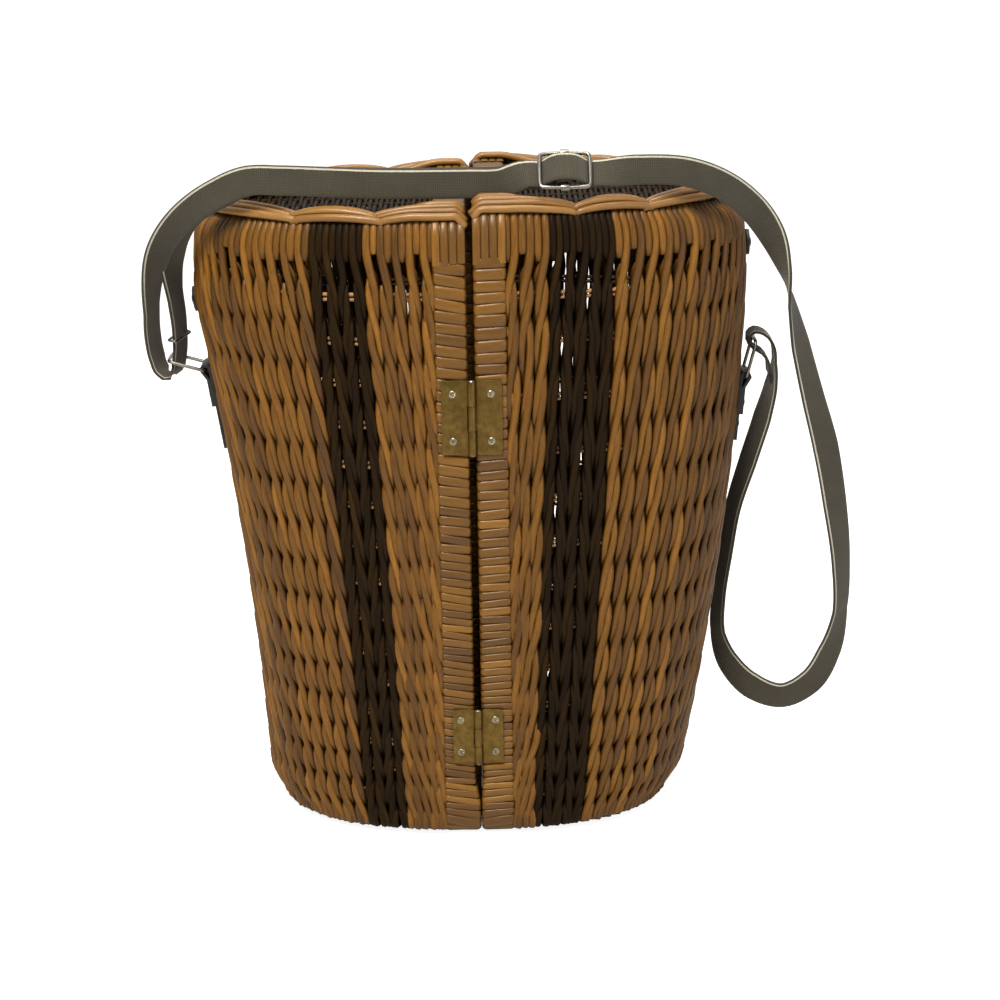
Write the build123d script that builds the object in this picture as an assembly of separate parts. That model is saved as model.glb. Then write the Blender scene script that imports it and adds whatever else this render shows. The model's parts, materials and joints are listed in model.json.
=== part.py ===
"""Upright wicker wine carrier: two half shells that open like a book on two butt hinges.

Each half is a deep woven shell whose mouth is stiffened by a cane-wrapped stick frame.
The hinges sit on the front of the two frames, the leather closure on the back, and a
webbing shoulder strap runs between wire rings in leather tabs on the two outer sides.

Millimetres, +Z up. The origin is the middle of the base, on the plane where the halves
meet. The front, with the hinges, faces -Y, the left half lies at -X and the right at +X.
"""
from build123d import *
import math
import os

# Overall sizes
body_height = 400.0
half_depth = 100.0
split_gap = 4.0
plan_power = 2.5

# Half width of each shell at three heights, so that the sides flare as they rise
lower_height = 40.0
middle_height = 160.0
upper_height = 330.0
left_half_widths = (138.5, 148.0, 173.0)
right_half_widths = (137.0, 157.0, 172.5)

# Woven shell
wall_thickness = 8.0
base_side_radius = 28.0
base_edge_radius = 4.0
shoulder_radius = 30.0
rim_drops = {"left": 14.0, "right": 10.0}
plan_corners = 28
top_panel_thickness = 6.0
top_panel_drop = 1.0

# Cane-wrapped frame round each mouth
frame_width = 20.0
frame_stick = 13.0
frame_outer_radius = 14.0
frame_inner_radius = 6.0
frame_edge_bevel = 2.6

# Border of long rods that laps round the top rim in scallops
border_rod = 4.6
border_rod_gap = 0.3
border_scallop = 4.0
border_scallops = 5
border_stations = 30
border_sides = 5

# Dark stripes: where they start at the rim and at the base, from the split
stripe_ranges = {
    "left": ((63.0, 95.0), (46.0, 73.0)),
    "right": ((48.0, 86.0), (34.0, 67.0)),
}

# Butt hinges on the front of the frames
upper_hinge_height = 46.0
upper_hinge_width = 36.6
upper_hinge_centre = 271.3
upper_screw_spread = 23.0
upper_screw_pitch = 29.0
lower_hinge_height = 35.0
lower_hinge_width = 31.0
lower_hinge_centre = 68.0
lower_screw_spread = 21.4
lower_screw_pitch = 21.0
leaf_thickness = 1.4
leaf_corner = 1.5
knuckle_radius = 2.5
hinge_pin_radius = 1.3
running_clearance = 0.05
knuckle_gap = 0.3
axis_stand_off = 3.4
hinge_screw_head = 2.3
hinge_screw_dome = 0.9
hinge_screw_shank = 1.1
hinge_screw_length = 9.0

# Leather tabs that carry the strap rings on the outer sides
tab_leather = 2.2
tab_width = 20.0
tab_lap = 24.0
ring_heights = {"left": 283.0, "right": 272.0}
tab_lengths = {"left": 52.0, "right": 41.0}
lap_rivet_drop = 18.0
foot_rivet_rise = 9.0
rivet_head = 3.6
rivet_dome = 1.5
rivet_shank = 1.6
washer_radius = 8.0
washer_thickness = 2.2

# Wire rings
ring_wire = 1.2
ring_reach = 24.0
ring_span = 24.0
ring_corner = 3.0
ring_play = 0.4
ring_tilts = {"left": 16.0, "right": 75.0}

# Neck straps inside, one in each half
neck_strap_width = 20.0
neck_strap_leather = 2.0
neck_strap_loop = 17.0
neck_strap_reach = 78.0
neck_strap_corner = 10.5
neck_strap_gap = 0.5
neck_strap_heights = {"left": 327.0, "right": 357.0}
press_stud_radius = 6.0
press_stud_height = 2.0

# Leather closure on the back
closure_drop = 32.0
closure_width = 24.0
closure_leather = 2.2
closure_tab_thickness = 3.7
closure_tab_end = 21.0
closure_bend = 7.0
closure_flap_reach = 24.0
closure_corner = 8.0
closure_gap = 0.2
closure_rivet_rise = 6.0
stud_base_radius = 5.0
stud_base_height = 1.2

# Shoulder strap of flat webbing
strap_width = 18.0
strap_thickness = 1.8
strap_stride = 8.0

# Slide adjuster on the strap
slide_centre = (57.5, -83.0, 416.3)
slide_lean = 40.0
slide_length = 33.0
slide_height = 26.5
slide_rail = 1.5
slide_bar_radius = 1.3
slide_corner = 3.0
crimp_length = 5.0
crimp_wall = 0.9

# Webbing through the slide: along the strap from its middle, and raised off its plane
slide_weave = [(-22, -3.2), (-14, -3.2), (-10, 0.8), (-6.5, 3.9), (0, 5.2), (6.5, 3.9), (10, 0.8), (14, -3.2),
               (22, -3.2)]
slide_fold = [(-22, -5.7), (-15, -5.7), (-9, -4.9), (-1.2, -2.8), (1.6, -2.4), (2.9, 0), (1.6, 2.4), (-1.5, 2.6),
              (-5, 1.4)]

# Small wire loop on the returning leg of the strap
loop_wire = 0.9
loop_depth = 5.6
loop_slack = 1.2
loop_corner = 1.6
loop_share = 0.68

# Webbing route, each station a place and the direction of the webbing's width
upright = (0, 0, 1)
edgeways = (-0.35, -0.93, 0)
top_run_left = [
    ((-0.4, -82, 409.4), upright),
    ((-24, -82, 409.5), upright),
    ((-50, -82, 409.9), upright),
    ((-81, -82, 411.4), upright),
    ((-111, -82, 413), upright),
    ((-130, -79.5, 412.8), (-0.1, 0, 1)),
    ((-152, -72, 403.3), (-0.45, 0, 1)),
    ((-172.5, -60, 388), (-0.8, -0.15, 0.6)),
    ((-188, -46, 368), (-0.8, -0.5, 0.3)),
    ((-196, -32, 345), (-0.55, -0.83, 0.1)),
    ((-199, -22, 325), edgeways),
    ((-200.5, -12, 306), edgeways),
    ((-199.5, -5, 291), edgeways),
    ((-197.3, -2, 282.5), edgeways),
    ((-192.5, -1, 277.8), edgeways),
    ((-187.8, 0, 281.5), edgeways),
    ((-185.9, 0, 289), edgeways),
]
returning_leg = [
    ((-184.6, -3, 310), edgeways),
    ((-185.0, -13, 332), edgeways),
    ((-184.5, -24, 351), (-0.55, -0.83, 0.1)),
    ((-180.3, -41, 371), (-0.8, -0.5, 0.3)),
    ((-169.5, -55.5, 389.3), (-0.8, -0.15, 0.6)),
    ((-150, -67.5, 402.8), (-0.45, 0, 1)),
    ((-128.5, -75.5, 412.3), (-0.1, 0, 1)),
    ((-110, -78, 412.3), upright),
    ((-81, -78, 411), upright),
    ((-50, -78, 409.8), upright),
    ((-24, -78, 409.5), upright),
    ((-0.4, -78, 409.4), upright),
]
long_loop_right = [
    ((102, -80, 415.5), upright),
    ((130, -78, 413.4), (0.1, 0, 1)),
    ((154, -70, 403), (0.3, 0, 0.95)),
    ((171, -62, 388.5), (0.6, 0, 0.75)),
    ((182, -54, 373), (0.75, -0.3, 0.5)),
    ((191, -46, 350), (0.55, -0.8, 0.15)),
    ((197, -40, 327), (0.5, -0.85, 0.1)),
    ((204, -35, 298), (0.65, -0.75, 0.1)),
    ((213, -30, 263), (0.75, -0.6, 0.15)),
    ((222, -25, 230), (0.9, -0.4, 0.2)),
    ((229, -20, 193), (0.97, -0.2, 0.1)),
    ((234.5, -15, 152), (0.97, -0.2, 0)),
    ((235, -12, 117), (0.97, -0.2, 0)),
    ((229, -9, 88), (0.8, -0.2, -0.5)),
    ((217, -7, 66), (0.6, -0.2, -0.8)),
    ((199, -5, 56), (0.1, -0.2, -1)),
    ((179, -1, 62), (-0.4, -0.1, -0.9)),
    ((164.5, 4, 77), (-0.6, -0.5, -0.5)),
    ((157.5, 6, 98), (-0.3, -0.95, 0)),
    ((158.5, 6, 125), (-0.2, -0.97, 0)),
    ((162, 5, 152), (-0.2, -0.97, 0)),
    ((167, 4, 184), (-0.2, -0.97, 0)),
    ((176, 2, 215), (-0.2, -0.97, 0)),
    ((184.5, 1, 243), (-0.2, -0.97, 0)),
    ((189.8, 0, 264), (-0.1, -1, 0)),
    ((191.8, 0, 280), (0, -1, 0)),
    ((190.2, 0, 292), (0, -1, 0)),
    ((184.5, 0, 299), (0, -1, 0)),
    ((178.8, 0, 300.6), (0, -1, 0)),
    ((174.9, 0, 297.6), (0, -1, 0)),
    ((174.7, 0, 293.2), (0, -1, 0)),
    ((177.7, 0, 290.2), (0, -1, 0)),
    ((183.2, 0, 286.8), (0, -1, 0)),
    ((187.2, 0, 281), (0, -1, 0)),
    ((188.1, 0, 273), (0, -1, 0)),
]

SIDES = {
    "left": (-1, left_half_widths),
    "right": (1, right_half_widths),
}
shell_levels = [0.0, 1.5, 4.0, 9.0, 17.0, 28.0, 60.0, 110.0, 160.0, 220.0, 275.0, 330.0, 360.0, 375.0, 384.0]
seat_gap = 0.05
fit_gap = 0.05
panel_gap = 0.2
front = -half_depth
back = half_depth
mouth = split_gap / 2
frame_back = mouth + frame_width
hinge_axis_y = front - axis_stand_off
closure_height = body_height - closure_drop
rivet_depth = wall_thickness - 1.0
wire_sides = 8
dome_sides = 16
dome_rings = 3


def half_width(widths, height):
    """Half width of a shell at a height, on the parabola through its three widths."""
    low, mid, high = widths
    z = min(height, upper_height)
    span_low = (z - middle_height) * (z - upper_height)
    span_mid = (z - lower_height) * (z - upper_height)
    span_high = (z - lower_height) * (z - middle_height)
    share_low = span_low / ((lower_height - middle_height) * (lower_height - upper_height))
    share_mid = span_mid / ((middle_height - lower_height) * (middle_height - upper_height))
    share_high = span_high / ((upper_height - lower_height) * (upper_height - middle_height))
    return low * share_low + mid * share_mid + high * share_high


def corner_inset(radius, distance):
    """How far a rounded corner has drawn in at a distance from the edge."""
    if distance >= radius:
        return 0.0
    return radius - math.sqrt(radius ** 2 - (radius - distance) ** 2)


def plan_point(side, widths, height, angle, offset=0.0):
    """Point on the plan curve at a height; angle runs from front, 0, to back, pi."""
    shoulder = corner_inset(shoulder_radius, max(body_height - height, 0.0))
    reach = half_width(widths, height) - shoulder
    reach -= corner_inset(base_side_radius, height) + offset
    depth = half_depth - corner_inset(base_edge_radius, height) - offset
    across = abs(math.sin(angle)) ** (2 / plan_power)
    along = abs(math.cos(angle)) ** (2 / plan_power)
    along = -along if angle < math.pi / 2 else along
    return side * reach * across, depth * along


def mouth_angle(widths, height, offset, start_x):
    """Angle at which the plan curve passes the back of the mouth frame."""
    reach = half_width(widths, height) - corner_inset(base_side_radius, height) - offset
    reach -= corner_inset(shoulder_radius, max(body_height - height, 0.0))
    return math.asin((start_x / reach) ** (plan_power / 2))


def plan_wire(side, widths, height, offset, start_x, level=None):
    """Closed D outline of a half shell at a height, drawn in by an offset."""
    level = height if level is None else level
    first = mouth_angle(widths, height, offset, start_x)
    points = []
    for i in range(plan_corners + 1):
        angle = first + (math.pi - 2 * first) * i / plan_corners
        x, y = plan_point(side, widths, height, angle, offset)
        points.append((x, y, level))
    return Wire.make_polygon(points)


def shell_block(side, widths, offset, start_x, bottom, top):
    """Solid inside the outline drawn in by an offset, from a bottom to a top height."""
    levels = [bottom] + [z for z in shell_levels if bottom + 0.5 < z < top - 0.5] + [top]
    wires = [plan_wire(side, widths, z, offset, start_x) for z in levels]
    return Solid.make_loft(wires, ruled=True)


def box_between(low, high):
    """Box from its lowest to its highest corner."""
    size = [h - l for l, h in zip(low, high)]
    centre = [(h + l) / 2 for l, h in zip(low, high)]
    return Pos(*centre) * Box(*size)


def cylinder_between(start, end, radius):
    """Cylinder from one point to another."""
    start, end = Vector(*start), Vector(*end)
    along = end - start
    return Solid.make_cylinder(radius, along.length, Plane(origin=start, z_dir=along.normalized()))


def dome(centre, direction, radius, height):
    """Low domed head, its round in flat facets, standing on a flat and facing a direction."""
    plane = Plane(origin=Vector(*centre), z_dir=Vector(*direction))
    rings = []
    for ring in range(dome_rings + 1):
        turn = math.radians(75.0) * ring / dome_rings
        rings.append(Wire(RegularPolygon(radius * math.cos(turn), dome_sides).edges()).moved(
            Location((0, 0, height * math.sin(turn)))))
    return plane * Solid.make_loft(rings, ruled=True)


def stripe_prism(side, top_range, foot_range):
    """Wedge through the whole shell that takes out its dark stripe."""
    corners = [
        (side * top_range[0], body_height),
        (side * top_range[1], body_height),
        (side * foot_range[1], 0.0),
        (side * foot_range[0], 0.0),
    ]
    outline = Plane.XZ * make_face(Polyline(*corners, close=True))
    return extrude(outline, half_depth + wall_thickness, both=True)


def woven_wall(side, widths, top):
    """Side wall and bottom of a half, open at the mouth and at the top."""
    outer = shell_block(side, widths, 0.0, frame_back, 0.0, top)
    hollow = shell_block(side, widths, wall_thickness, frame_back - 5, wall_thickness, top + 5)
    return outer - hollow


def top_panel(side, widths, wall_top):
    """Woven panel that closes the top, let in just below the wall's edge."""
    hollow = shell_block(side, widths, wall_thickness + panel_gap, frame_back - 5, wall_thickness, wall_top + 5)
    top = wall_top - top_panel_drop
    near, far = sorted((side * frame_back, side * 2 * half_depth))
    slab = box_between((near, -half_depth, top - top_panel_thickness), (far, half_depth, top))
    return hollow & slab


def mouth_frame(side):
    """Stick frame round the mouth, its edges eased as the flat cane wrapping leaves them."""
    centre = (0.0, body_height / 2)
    outer = Pos(*centre) * RectangleRounded(2 * half_depth, body_height, frame_outer_radius)
    inner = Pos(*centre) * RectangleRounded(
        2 * (half_depth - frame_stick), body_height - 2 * frame_stick, frame_inner_radius)
    ring = extrude(Plane.YZ * (outer - inner), frame_width)
    ring = Pos(mouth, 0, 0) * ring
    if side < 0:
        ring = mirror(ring, Plane.YZ)
    eased = [e for e in ring.edges() if abs(abs(e.center().X) - mouth) < 0.01]
    return chamfer(eased, frame_edge_bevel)


def border_rods(side, widths, wall_top):
    """Four long rods laid round the rim, rising and falling together in scallops."""
    base = wall_top + border_rod / 2 + border_rod_gap
    pitch = border_rod + border_rod_gap
    lanes = [(0.0, 0.0), (pitch, 0.0), (pitch / 2, pitch * 0.9), (-pitch * 0.45, pitch * 0.9)]
    rods = []
    for inset, lift in lanes:
        rings = []
        offset = inset + border_rod / 2 + 0.5
        reach_x = frame_back + 0.5
        first = mouth_angle(widths, wall_top, offset, reach_x)
        angles = [first + (math.pi - 2 * first) * i / border_stations for i in range(border_stations + 1)]
        places = [plan_point(side, widths, wall_top, a, offset) for a in angles]
        for i, (x, y) in enumerate(places):
            wave = abs(math.sin(math.pi * border_scallops * i / border_stations))
            before = places[max(i - 1, 0)]
            after = places[min(i + 1, border_stations)]
            along = Vector(after[0] - before[0], after[1] - before[1], 0).normalized()
            plane = Plane(origin=(x, y, base + lift + border_scallop * wave), x_dir=(0, 0, 1), z_dir=along)
            rings.append(Wire.make_polygon([
                plane.from_local_coords(Vector(
                    border_rod / 2 * math.cos(2 * math.pi * turn / border_sides),
                    border_rod / 2 * math.sin(2 * math.pi * turn / border_sides), 0))
                for turn in range(border_sides)]))
        rods.append(Solid.make_loft(rings, ruled=True))
    return rods


def hinge_leaf(side, height, width, centre_z, spread, pitch, own_knuckles):
    """Leaf of a butt hinge with its own rolled knuckles, countersunk for its screws."""
    edge = knuckle_radius + knuckle_gap
    reach = width / 2
    plate = Plane.XZ * Pos(side * (reach + edge) / 2, centre_z) * RectangleRounded(
        reach - edge, height, leaf_corner)
    leaf = Pos(0, front, 0) * extrude(plate, leaf_thickness)
    third = height / 3
    low = centre_z - height / 2
    for k in own_knuckles:
        z0 = low + k * third + knuckle_gap / 2
        z1 = low + (k + 1) * third - knuckle_gap / 2
        barrel = cylinder_between((0, hinge_axis_y, z0), (0, hinge_axis_y, z1), knuckle_radius)
        inner_x, outer_x = sorted((0.0, side * (edge + leaf_corner)))
        web = box_between((inner_x, front - leaf_thickness, z0), (outer_x, front, z1))
        leaf = leaf + web + barrel
    leaf -= cylinder_between(
        (0, hinge_axis_y, low - 1), (0, hinge_axis_y, low + height + 1), hinge_pin_radius + running_clearance)
    for x, z in screw_places(side, centre_z, spread, pitch):
        leaf -= cylinder_between((x, front + 1, z), (x, front - 3, z), hinge_screw_shank + 0.2)
    return leaf


def screw_places(side, centre_z, spread, pitch):
    """Where the two screws of a hinge leaf stand."""
    return [(side * spread / 2, centre_z + end * pitch / 2) for end in (-1, 1)]


def all_screw_places(side):
    """The four screw places of one half, upper hinge first."""
    return (screw_places(side, upper_hinge_centre, upper_screw_spread, upper_screw_pitch)
            + screw_places(side, lower_hinge_centre, lower_screw_spread, lower_screw_pitch))


def hinge_screws(side):
    """The four screws that hold this half's hinge leaves to its frame."""
    screws = []
    face = front - leaf_thickness
    for x, z in all_screw_places(side):
        shank = cylinder_between((x, face, z), (x, front + hinge_screw_length, z), hinge_screw_shank)
        screws.append(dome((x, face, z), (0, -1, 0), hinge_screw_head, hinge_screw_dome) + shank)
    return screws


def hinge_pin(height, centre_z):
    """Hinge pin with a low domed head at each end."""
    low = centre_z - height / 2
    high = centre_z + height / 2
    head = hinge_pin_radius + 0.7
    pin = cylinder_between((0, hinge_axis_y, low), (0, hinge_axis_y, high), hinge_pin_radius)
    pin += dome((0, hinge_axis_y, high), (0, 0, 1), head, 0.8)
    pin += dome((0, hinge_axis_y, low), (0, 0, -1), head, 0.8)
    return pin


def shell_reach(widths, height):
    """Outermost half width of a shell wall at a height, as its flat bands leave it."""
    low = max(z for z in shell_levels if z <= height)
    high = min(z for z in shell_levels if z > height)
    share = (height - low) / (high - low)
    low_reach, _ = plan_point(1, widths, low, math.pi / 2)
    high_reach, _ = plan_point(1, widths, high, math.pi / 2)
    return low_reach * (1 - share) + high_reach * share


def side_plane(side, widths, height, low, high):
    """Plane laid on the outer side of a shell, touching it between two heights.

    Its x runs front to back, its y up the wall and its z outwards.
    """
    slope = (shell_reach(widths, high) - shell_reach(widths, low)) / (high - low)
    heights = [low + (high - low) * i / 20 for i in range(21)]
    reach = max(shell_reach(widths, z) - slope * (z - height) for z in heights)
    up = Vector(side * slope, 0, 1).normalized()
    outwards = Vector(side, 0, -slope).normalized()
    return Plane(origin=(side * (reach + seat_gap), 0, height), x_dir=up.cross(outwards), z_dir=outwards)


def ring_pivot(plane):
    """Middle of the ring's inner limb, in the eye of its leather tab."""
    return plane.origin + plane.z_dir * (ring_wire + ring_play + tab_leather)


def ring_tab(plane, length, lap_rivet, foot_rivet):
    """Leather strip folded over the ring's wire, its short end lapped over its long one."""
    bore = ring_wire + ring_play
    outer = bore + tab_leather
    turn = bore * 4
    long_end = [(0, 0), (tab_leather, 0), (tab_leather, -length), (0, -length)]
    short_end = [(2 * outer, 0), (outer + bore, 0), (tab_leather, -turn), (tab_leather, -tab_lap),
                 (2 * tab_leather, -tab_lap), (2 * tab_leather, -turn)]
    eye = Pos(outer, 0) * (Circle(outer) - Circle(bore))
    eye -= Pos(outer, -outer) * Rectangle(3 * outer, 2 * outer)
    profile = eye + make_face(Polyline(*long_end, close=True)) + make_face(Polyline(*short_end, close=True))
    local = Plane(origin=plane.origin, x_dir=plane.z_dir, z_dir=plane.z_dir.cross(plane.y_dir))
    strip = local * extrude(profile, tab_width / 2, both=True)
    for drop in (lap_rivet, foot_rivet):
        place = plane.origin - plane.y_dir * drop
        strip -= cylinder_between(place - plane.z_dir * rivet_depth, place + plane.z_dir * 3 * outer,
                                  rivet_shank + fit_gap)
    return strip


def rivet(place, outwards, seat, depth):
    """Tubular rivet: domed head at a seat height, shank down to a depth."""
    head = dome(place + outwards * seat, outwards, rivet_head, rivet_dome)
    return head + cylinder_between(place + outwards * seat, place - outwards * depth, rivet_shank)


def wire_rectangle(plane, length, width, wire, corner):
    """Wire bent into a rounded rectangle, centred on a plane; sizes run to the wire's middle."""
    x, y = length / 2, width / 2
    rings = []
    for i, (across, along) in enumerate(((1, 1), (-1, 1), (-1, -1), (1, -1))):
        for step in range(4):
            turn = math.radians(90 * i + 30 * step)
            outwards = Vector(math.cos(turn), math.sin(turn), 0)
            place = Vector(across * (x - corner), along * (y - corner), 0) + outwards * corner
            rings.append([
                plane.from_local_coords(
                    place + outwards * (wire * math.cos(2 * math.pi * k / wire_sides))
                    + Vector(0, 0, wire * math.sin(2 * math.pi * k / wire_sides)))
                for k in range(wire_sides)])
    return skinned(rings, closed=True)


def ring_plane(side, pivot, tilt):
    """Plane of a strap ring: x runs out along the ring, y front to back."""
    lean = math.radians(tilt)
    out = Vector(side * math.cos(lean), 0, math.sin(lean))
    normal = out.cross(Vector(0, 1, 0))
    return Plane(origin=pivot + out * (ring_reach / 2), x_dir=out, z_dir=normal)


def neck_strap(side, widths, height):
    """Leather loop inside a half that holds a bottle's neck, riveted to the side wall."""
    low = height - neck_strap_width / 2
    wall = min(shell_reach(widths, low), shell_reach(widths, low + neck_strap_width))
    reach = wall - wall_thickness - neck_strap_gap
    length = neck_strap_reach
    leather = neck_strap_leather
    outline = RectangleRounded(length, 2 * neck_strap_loop, neck_strap_corner)
    outline -= RectangleRounded(length - 2 * leather, 2 * (neck_strap_loop - leather), neck_strap_corner - leather)
    loop = Pos(side * (reach - length / 2), 0, low) * extrude(outline, neck_strap_width)
    return loop, reach


def neck_rivet(side, reach, height, plane):
    """Rivet through washer, wall and neck strap, headed on both sides."""
    seat = side * reach
    inner = seat - side * neck_strap_leather
    outer = plane.origin + plane.z_dir * washer_thickness
    body = cylinder_between((inner, 0, height), (outer.X, 0, height), rivet_shank)
    body += dome(outer, plane.z_dir, rivet_head, rivet_dome)
    body += dome((inner, 0, height), (-side, 0, 0), rivet_head, rivet_dome)
    return body


def press_stud(side, reach, height):
    """Press stud that closes the neck strap at its inner end."""
    outside = side * (reach - neck_strap_reach)
    inside = outside + side * neck_strap_leather
    stud = dome((outside, 0, height), (-side, 0, 0), press_stud_radius, press_stud_height)
    stud += cylinder_between((outside, 0, height), (inside, 0, height), rivet_shank)
    stud += cylinder_between((inside, 0, height), (inside + side * stud_base_height, 0, height),
                             stud_base_radius)
    return stud


def closure_strip(near, far, low_y, thickness, round_end):
    """Flat leather strip on the back, with its far end rounded."""
    length = abs(far - near)
    outline = Rectangle(length, closure_width)
    ends = [v for v in outline.vertices() if (v.X > 0) == (round_end > 0)]
    outline = fillet(ends, closure_corner)
    middle = (near + far) / 2
    strip = extrude(Plane(origin=(middle, low_y, closure_height), x_dir=(1, 0, 0), z_dir=(0, -1, 0)) * outline,
                    -thickness)
    return strip


def skinned(rings, closed=False):
    """Solid with flat facets between rings of corners, its ends capped unless it is closed.

    Past half of a ring the facets are cut along the other diagonal, so that where a flat
    band twists, its two faces stay parallel.
    """
    faces = [] if closed else [Face(Wire.make_polygon(rings[0])), Face(Wire.make_polygon(rings[-1]))]
    following = rings[1:] + rings[:1] if closed else rings[1:]
    for ring, after in zip(rings, following):
        for k in range(len(ring)):
            corners = [ring[k - 1], ring[k], after[k], after[k - 1]]
            if k > len(ring) // 2:
                corners = corners[1:] + corners[:1]
            faces.append(Face(Wire.make_polygon([corners[0], corners[1], corners[2]])))
            faces.append(Face(Wire.make_polygon([corners[0], corners[2], corners[3]])))
    return Solid(Shell(faces))


def smooth_route(stations):
    """The stations with others set between them, on a curve that runs smoothly through them all."""
    rows = [Vector(*place) for place, _ in stations]
    widths = [Vector(*width).normalized() for _, width in stations]
    gaps = [(after - before).length for before, after in zip(rows, rows[1:])]
    route = []
    for i, gap in enumerate(gaps):
        ends = []
        for k in (i, i + 1):
            if 0 < k < len(gaps):
                before, after = (rows[k] - rows[k - 1]) / gaps[k - 1], (rows[k + 1] - rows[k]) / gaps[k]
                ends.append((before * gaps[k] + after * gaps[k - 1]) / (gaps[k] + gaps[k - 1]))
            else:
                ends.append((rows[i + 1] - rows[i]) / gap)
        steps = max(1, round(gap / strap_stride))
        for step in range(steps):
            t = step / steps
            near, far = 1 - 3 * t ** 2 + 2 * t ** 3, 3 * t ** 2 - 2 * t ** 3
            leave, arrive = t - 2 * t ** 2 + t ** 3, t ** 3 - t ** 2
            place = rows[i] * near + rows[i + 1] * far + (ends[0] * leave + ends[1] * arrive) * gap
            route.append((place, widths[i] * (1 - t) + widths[i + 1] * t))
    route.append((rows[-1], widths[-1]))
    return route


def ribbon(stations):
    """Flat webbing through stations, each a place and the direction of the webbing's width."""
    stations = smooth_route(stations)
    places = [place for place, _ in stations]
    rings = []
    for i, (_, width_direction) in enumerate(stations):
        before = places[max(i - 1, 0)]
        after = places[min(i + 1, len(places) - 1)]
        along = (after - before).normalized()
        across = (width_direction - along * width_direction.dot(along)).normalized()
        face = along.cross(across)
        corners = []
        for w, t in ((-1, -1), (1, -1), (1, 1), (-1, 1)):
            corners.append(places[i] + across * (w * strap_width / 2) + face * (t * strap_thickness / 2))
        rings.append(corners)
    length = sum((after - before).length for before, after in zip(places, places[1:]))
    print("webbing", round(length), "mm, section times length", round(length * strap_width * strap_thickness))
    return skinned(rings)


def slide_point(along, raised, across=0.0):
    """Place on the slide adjuster: along the strap from its middle, raised off its plane."""
    local = slide_plane.from_local_coords((along, across, raised))
    return (local.X, local.Y, local.Z)


os.makedirs("parts", exist_ok=True)
parts = {}
for name, (side, widths) in SIDES.items():
    stripe_top, stripe_foot = stripe_ranges[name]
    stripe = stripe_prism(side, stripe_top, stripe_foot)
    wall_top = body_height - rim_drops[name]
    tab_length = tab_lengths[name]
    wall = woven_wall(side, widths, wall_top)
    frame = mouth_frame(side)
    ring_height = ring_heights[name]
    strap_height = neck_strap_heights[name]
    tab_plane = side_plane(side, widths, ring_height, ring_height - tab_length, ring_height + ring_wire)
    nub_plane = side_plane(side, widths, strap_height, strap_height - washer_radius,
                           strap_height + washer_radius)
    foot_rivet_drop = tab_length - foot_rivet_rise
    tab_rivets = [
        rivet(tab_plane.origin - tab_plane.y_dir * lap_rivet_drop, tab_plane.z_dir, 2 * tab_leather, rivet_depth),
        rivet(tab_plane.origin - tab_plane.y_dir * foot_rivet_drop, tab_plane.z_dir, tab_leather, rivet_depth),
    ]
    loop, reach = neck_strap(side, widths, strap_height)
    strap_rivet = neck_rivet(side, reach, strap_height, nub_plane)
    strap_stud = press_stud(side, reach, strap_height)
    loop -= strap_rivet
    loop -= strap_stud
    washer = Solid.make_cylinder(washer_radius, washer_thickness, nub_plane)
    rivet_hole = cylinder_between((side * (reach - neck_strap_loop), 0, strap_height),
                                  (side * (reach + 2 * wall_thickness), 0, strap_height), rivet_shank + fit_gap)
    washer -= rivet_hole

    for drop in (lap_rivet_drop, foot_rivet_drop):
        place = tab_plane.origin - tab_plane.y_dir * drop
        wall -= cylinder_between(place + tab_plane.z_dir * rivet_depth,
                                 place - tab_plane.z_dir * (rivet_depth + wall_thickness), rivet_shank + fit_gap)
    wall -= rivet_hole
    for x, z in all_screw_places(side):
        frame -= cylinder_between((x, front - 1, z), (x, front + hinge_screw_length + 1, z),
                                  hinge_screw_shank + fit_gap)

    parts[name + "_woven_wall"] = wall - stripe
    parts[name + "_dark_stripes"] = wall & stripe
    parts[name + "_top_panel"] = top_panel(side, widths, wall_top)
    parts[name + "_rim_border"] = Compound(children=border_rods(side, widths, wall_top))
    parts[name + "_hinge_screws"] = Compound(children=hinge_screws(side))
    parts[name + "_ring_tab"] = ring_tab(tab_plane, tab_length, lap_rivet_drop, foot_rivet_drop)
    parts[name + "_tab_rivets"] = Compound(children=tab_rivets)
    parts[name + "_strap_ring"] = wire_rectangle(
        ring_plane(side, ring_pivot(tab_plane), ring_tilts[name]), ring_reach, ring_span, ring_wire, ring_corner)
    parts[name + "_neck_strap"] = loop
    parts[name + "_neck_strap_rivet"] = strap_rivet
    parts[name + "_neck_strap_washer"] = washer
    parts[name + "_neck_strap_stud"] = strap_stud
    parts[name + "_mouth_frame"] = frame
    pivot = ring_pivot(tab_plane)
    print(name, "ring pivot", [round(v, 2) for v in (pivot.X, pivot.Y, pivot.Z)])

hinges = {
    "upper": (upper_hinge_height, upper_hinge_width, upper_hinge_centre, upper_screw_spread, upper_screw_pitch),
    "lower": (lower_hinge_height, lower_hinge_width, lower_hinge_centre, lower_screw_spread, lower_screw_pitch),
}
for name, (height, width, centre_z, spread, pitch) in hinges.items():
    parts["left_" + name + "_hinge_leaf"] = hinge_leaf(-1, height, width, centre_z, spread, pitch, (0, 2))
    parts["right_" + name + "_hinge_leaf"] = hinge_leaf(1, height, width, centre_z, spread, pitch, (1,))
    parts[name + "_hinge_pin"] = hinge_pin(height, centre_z)

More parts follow.
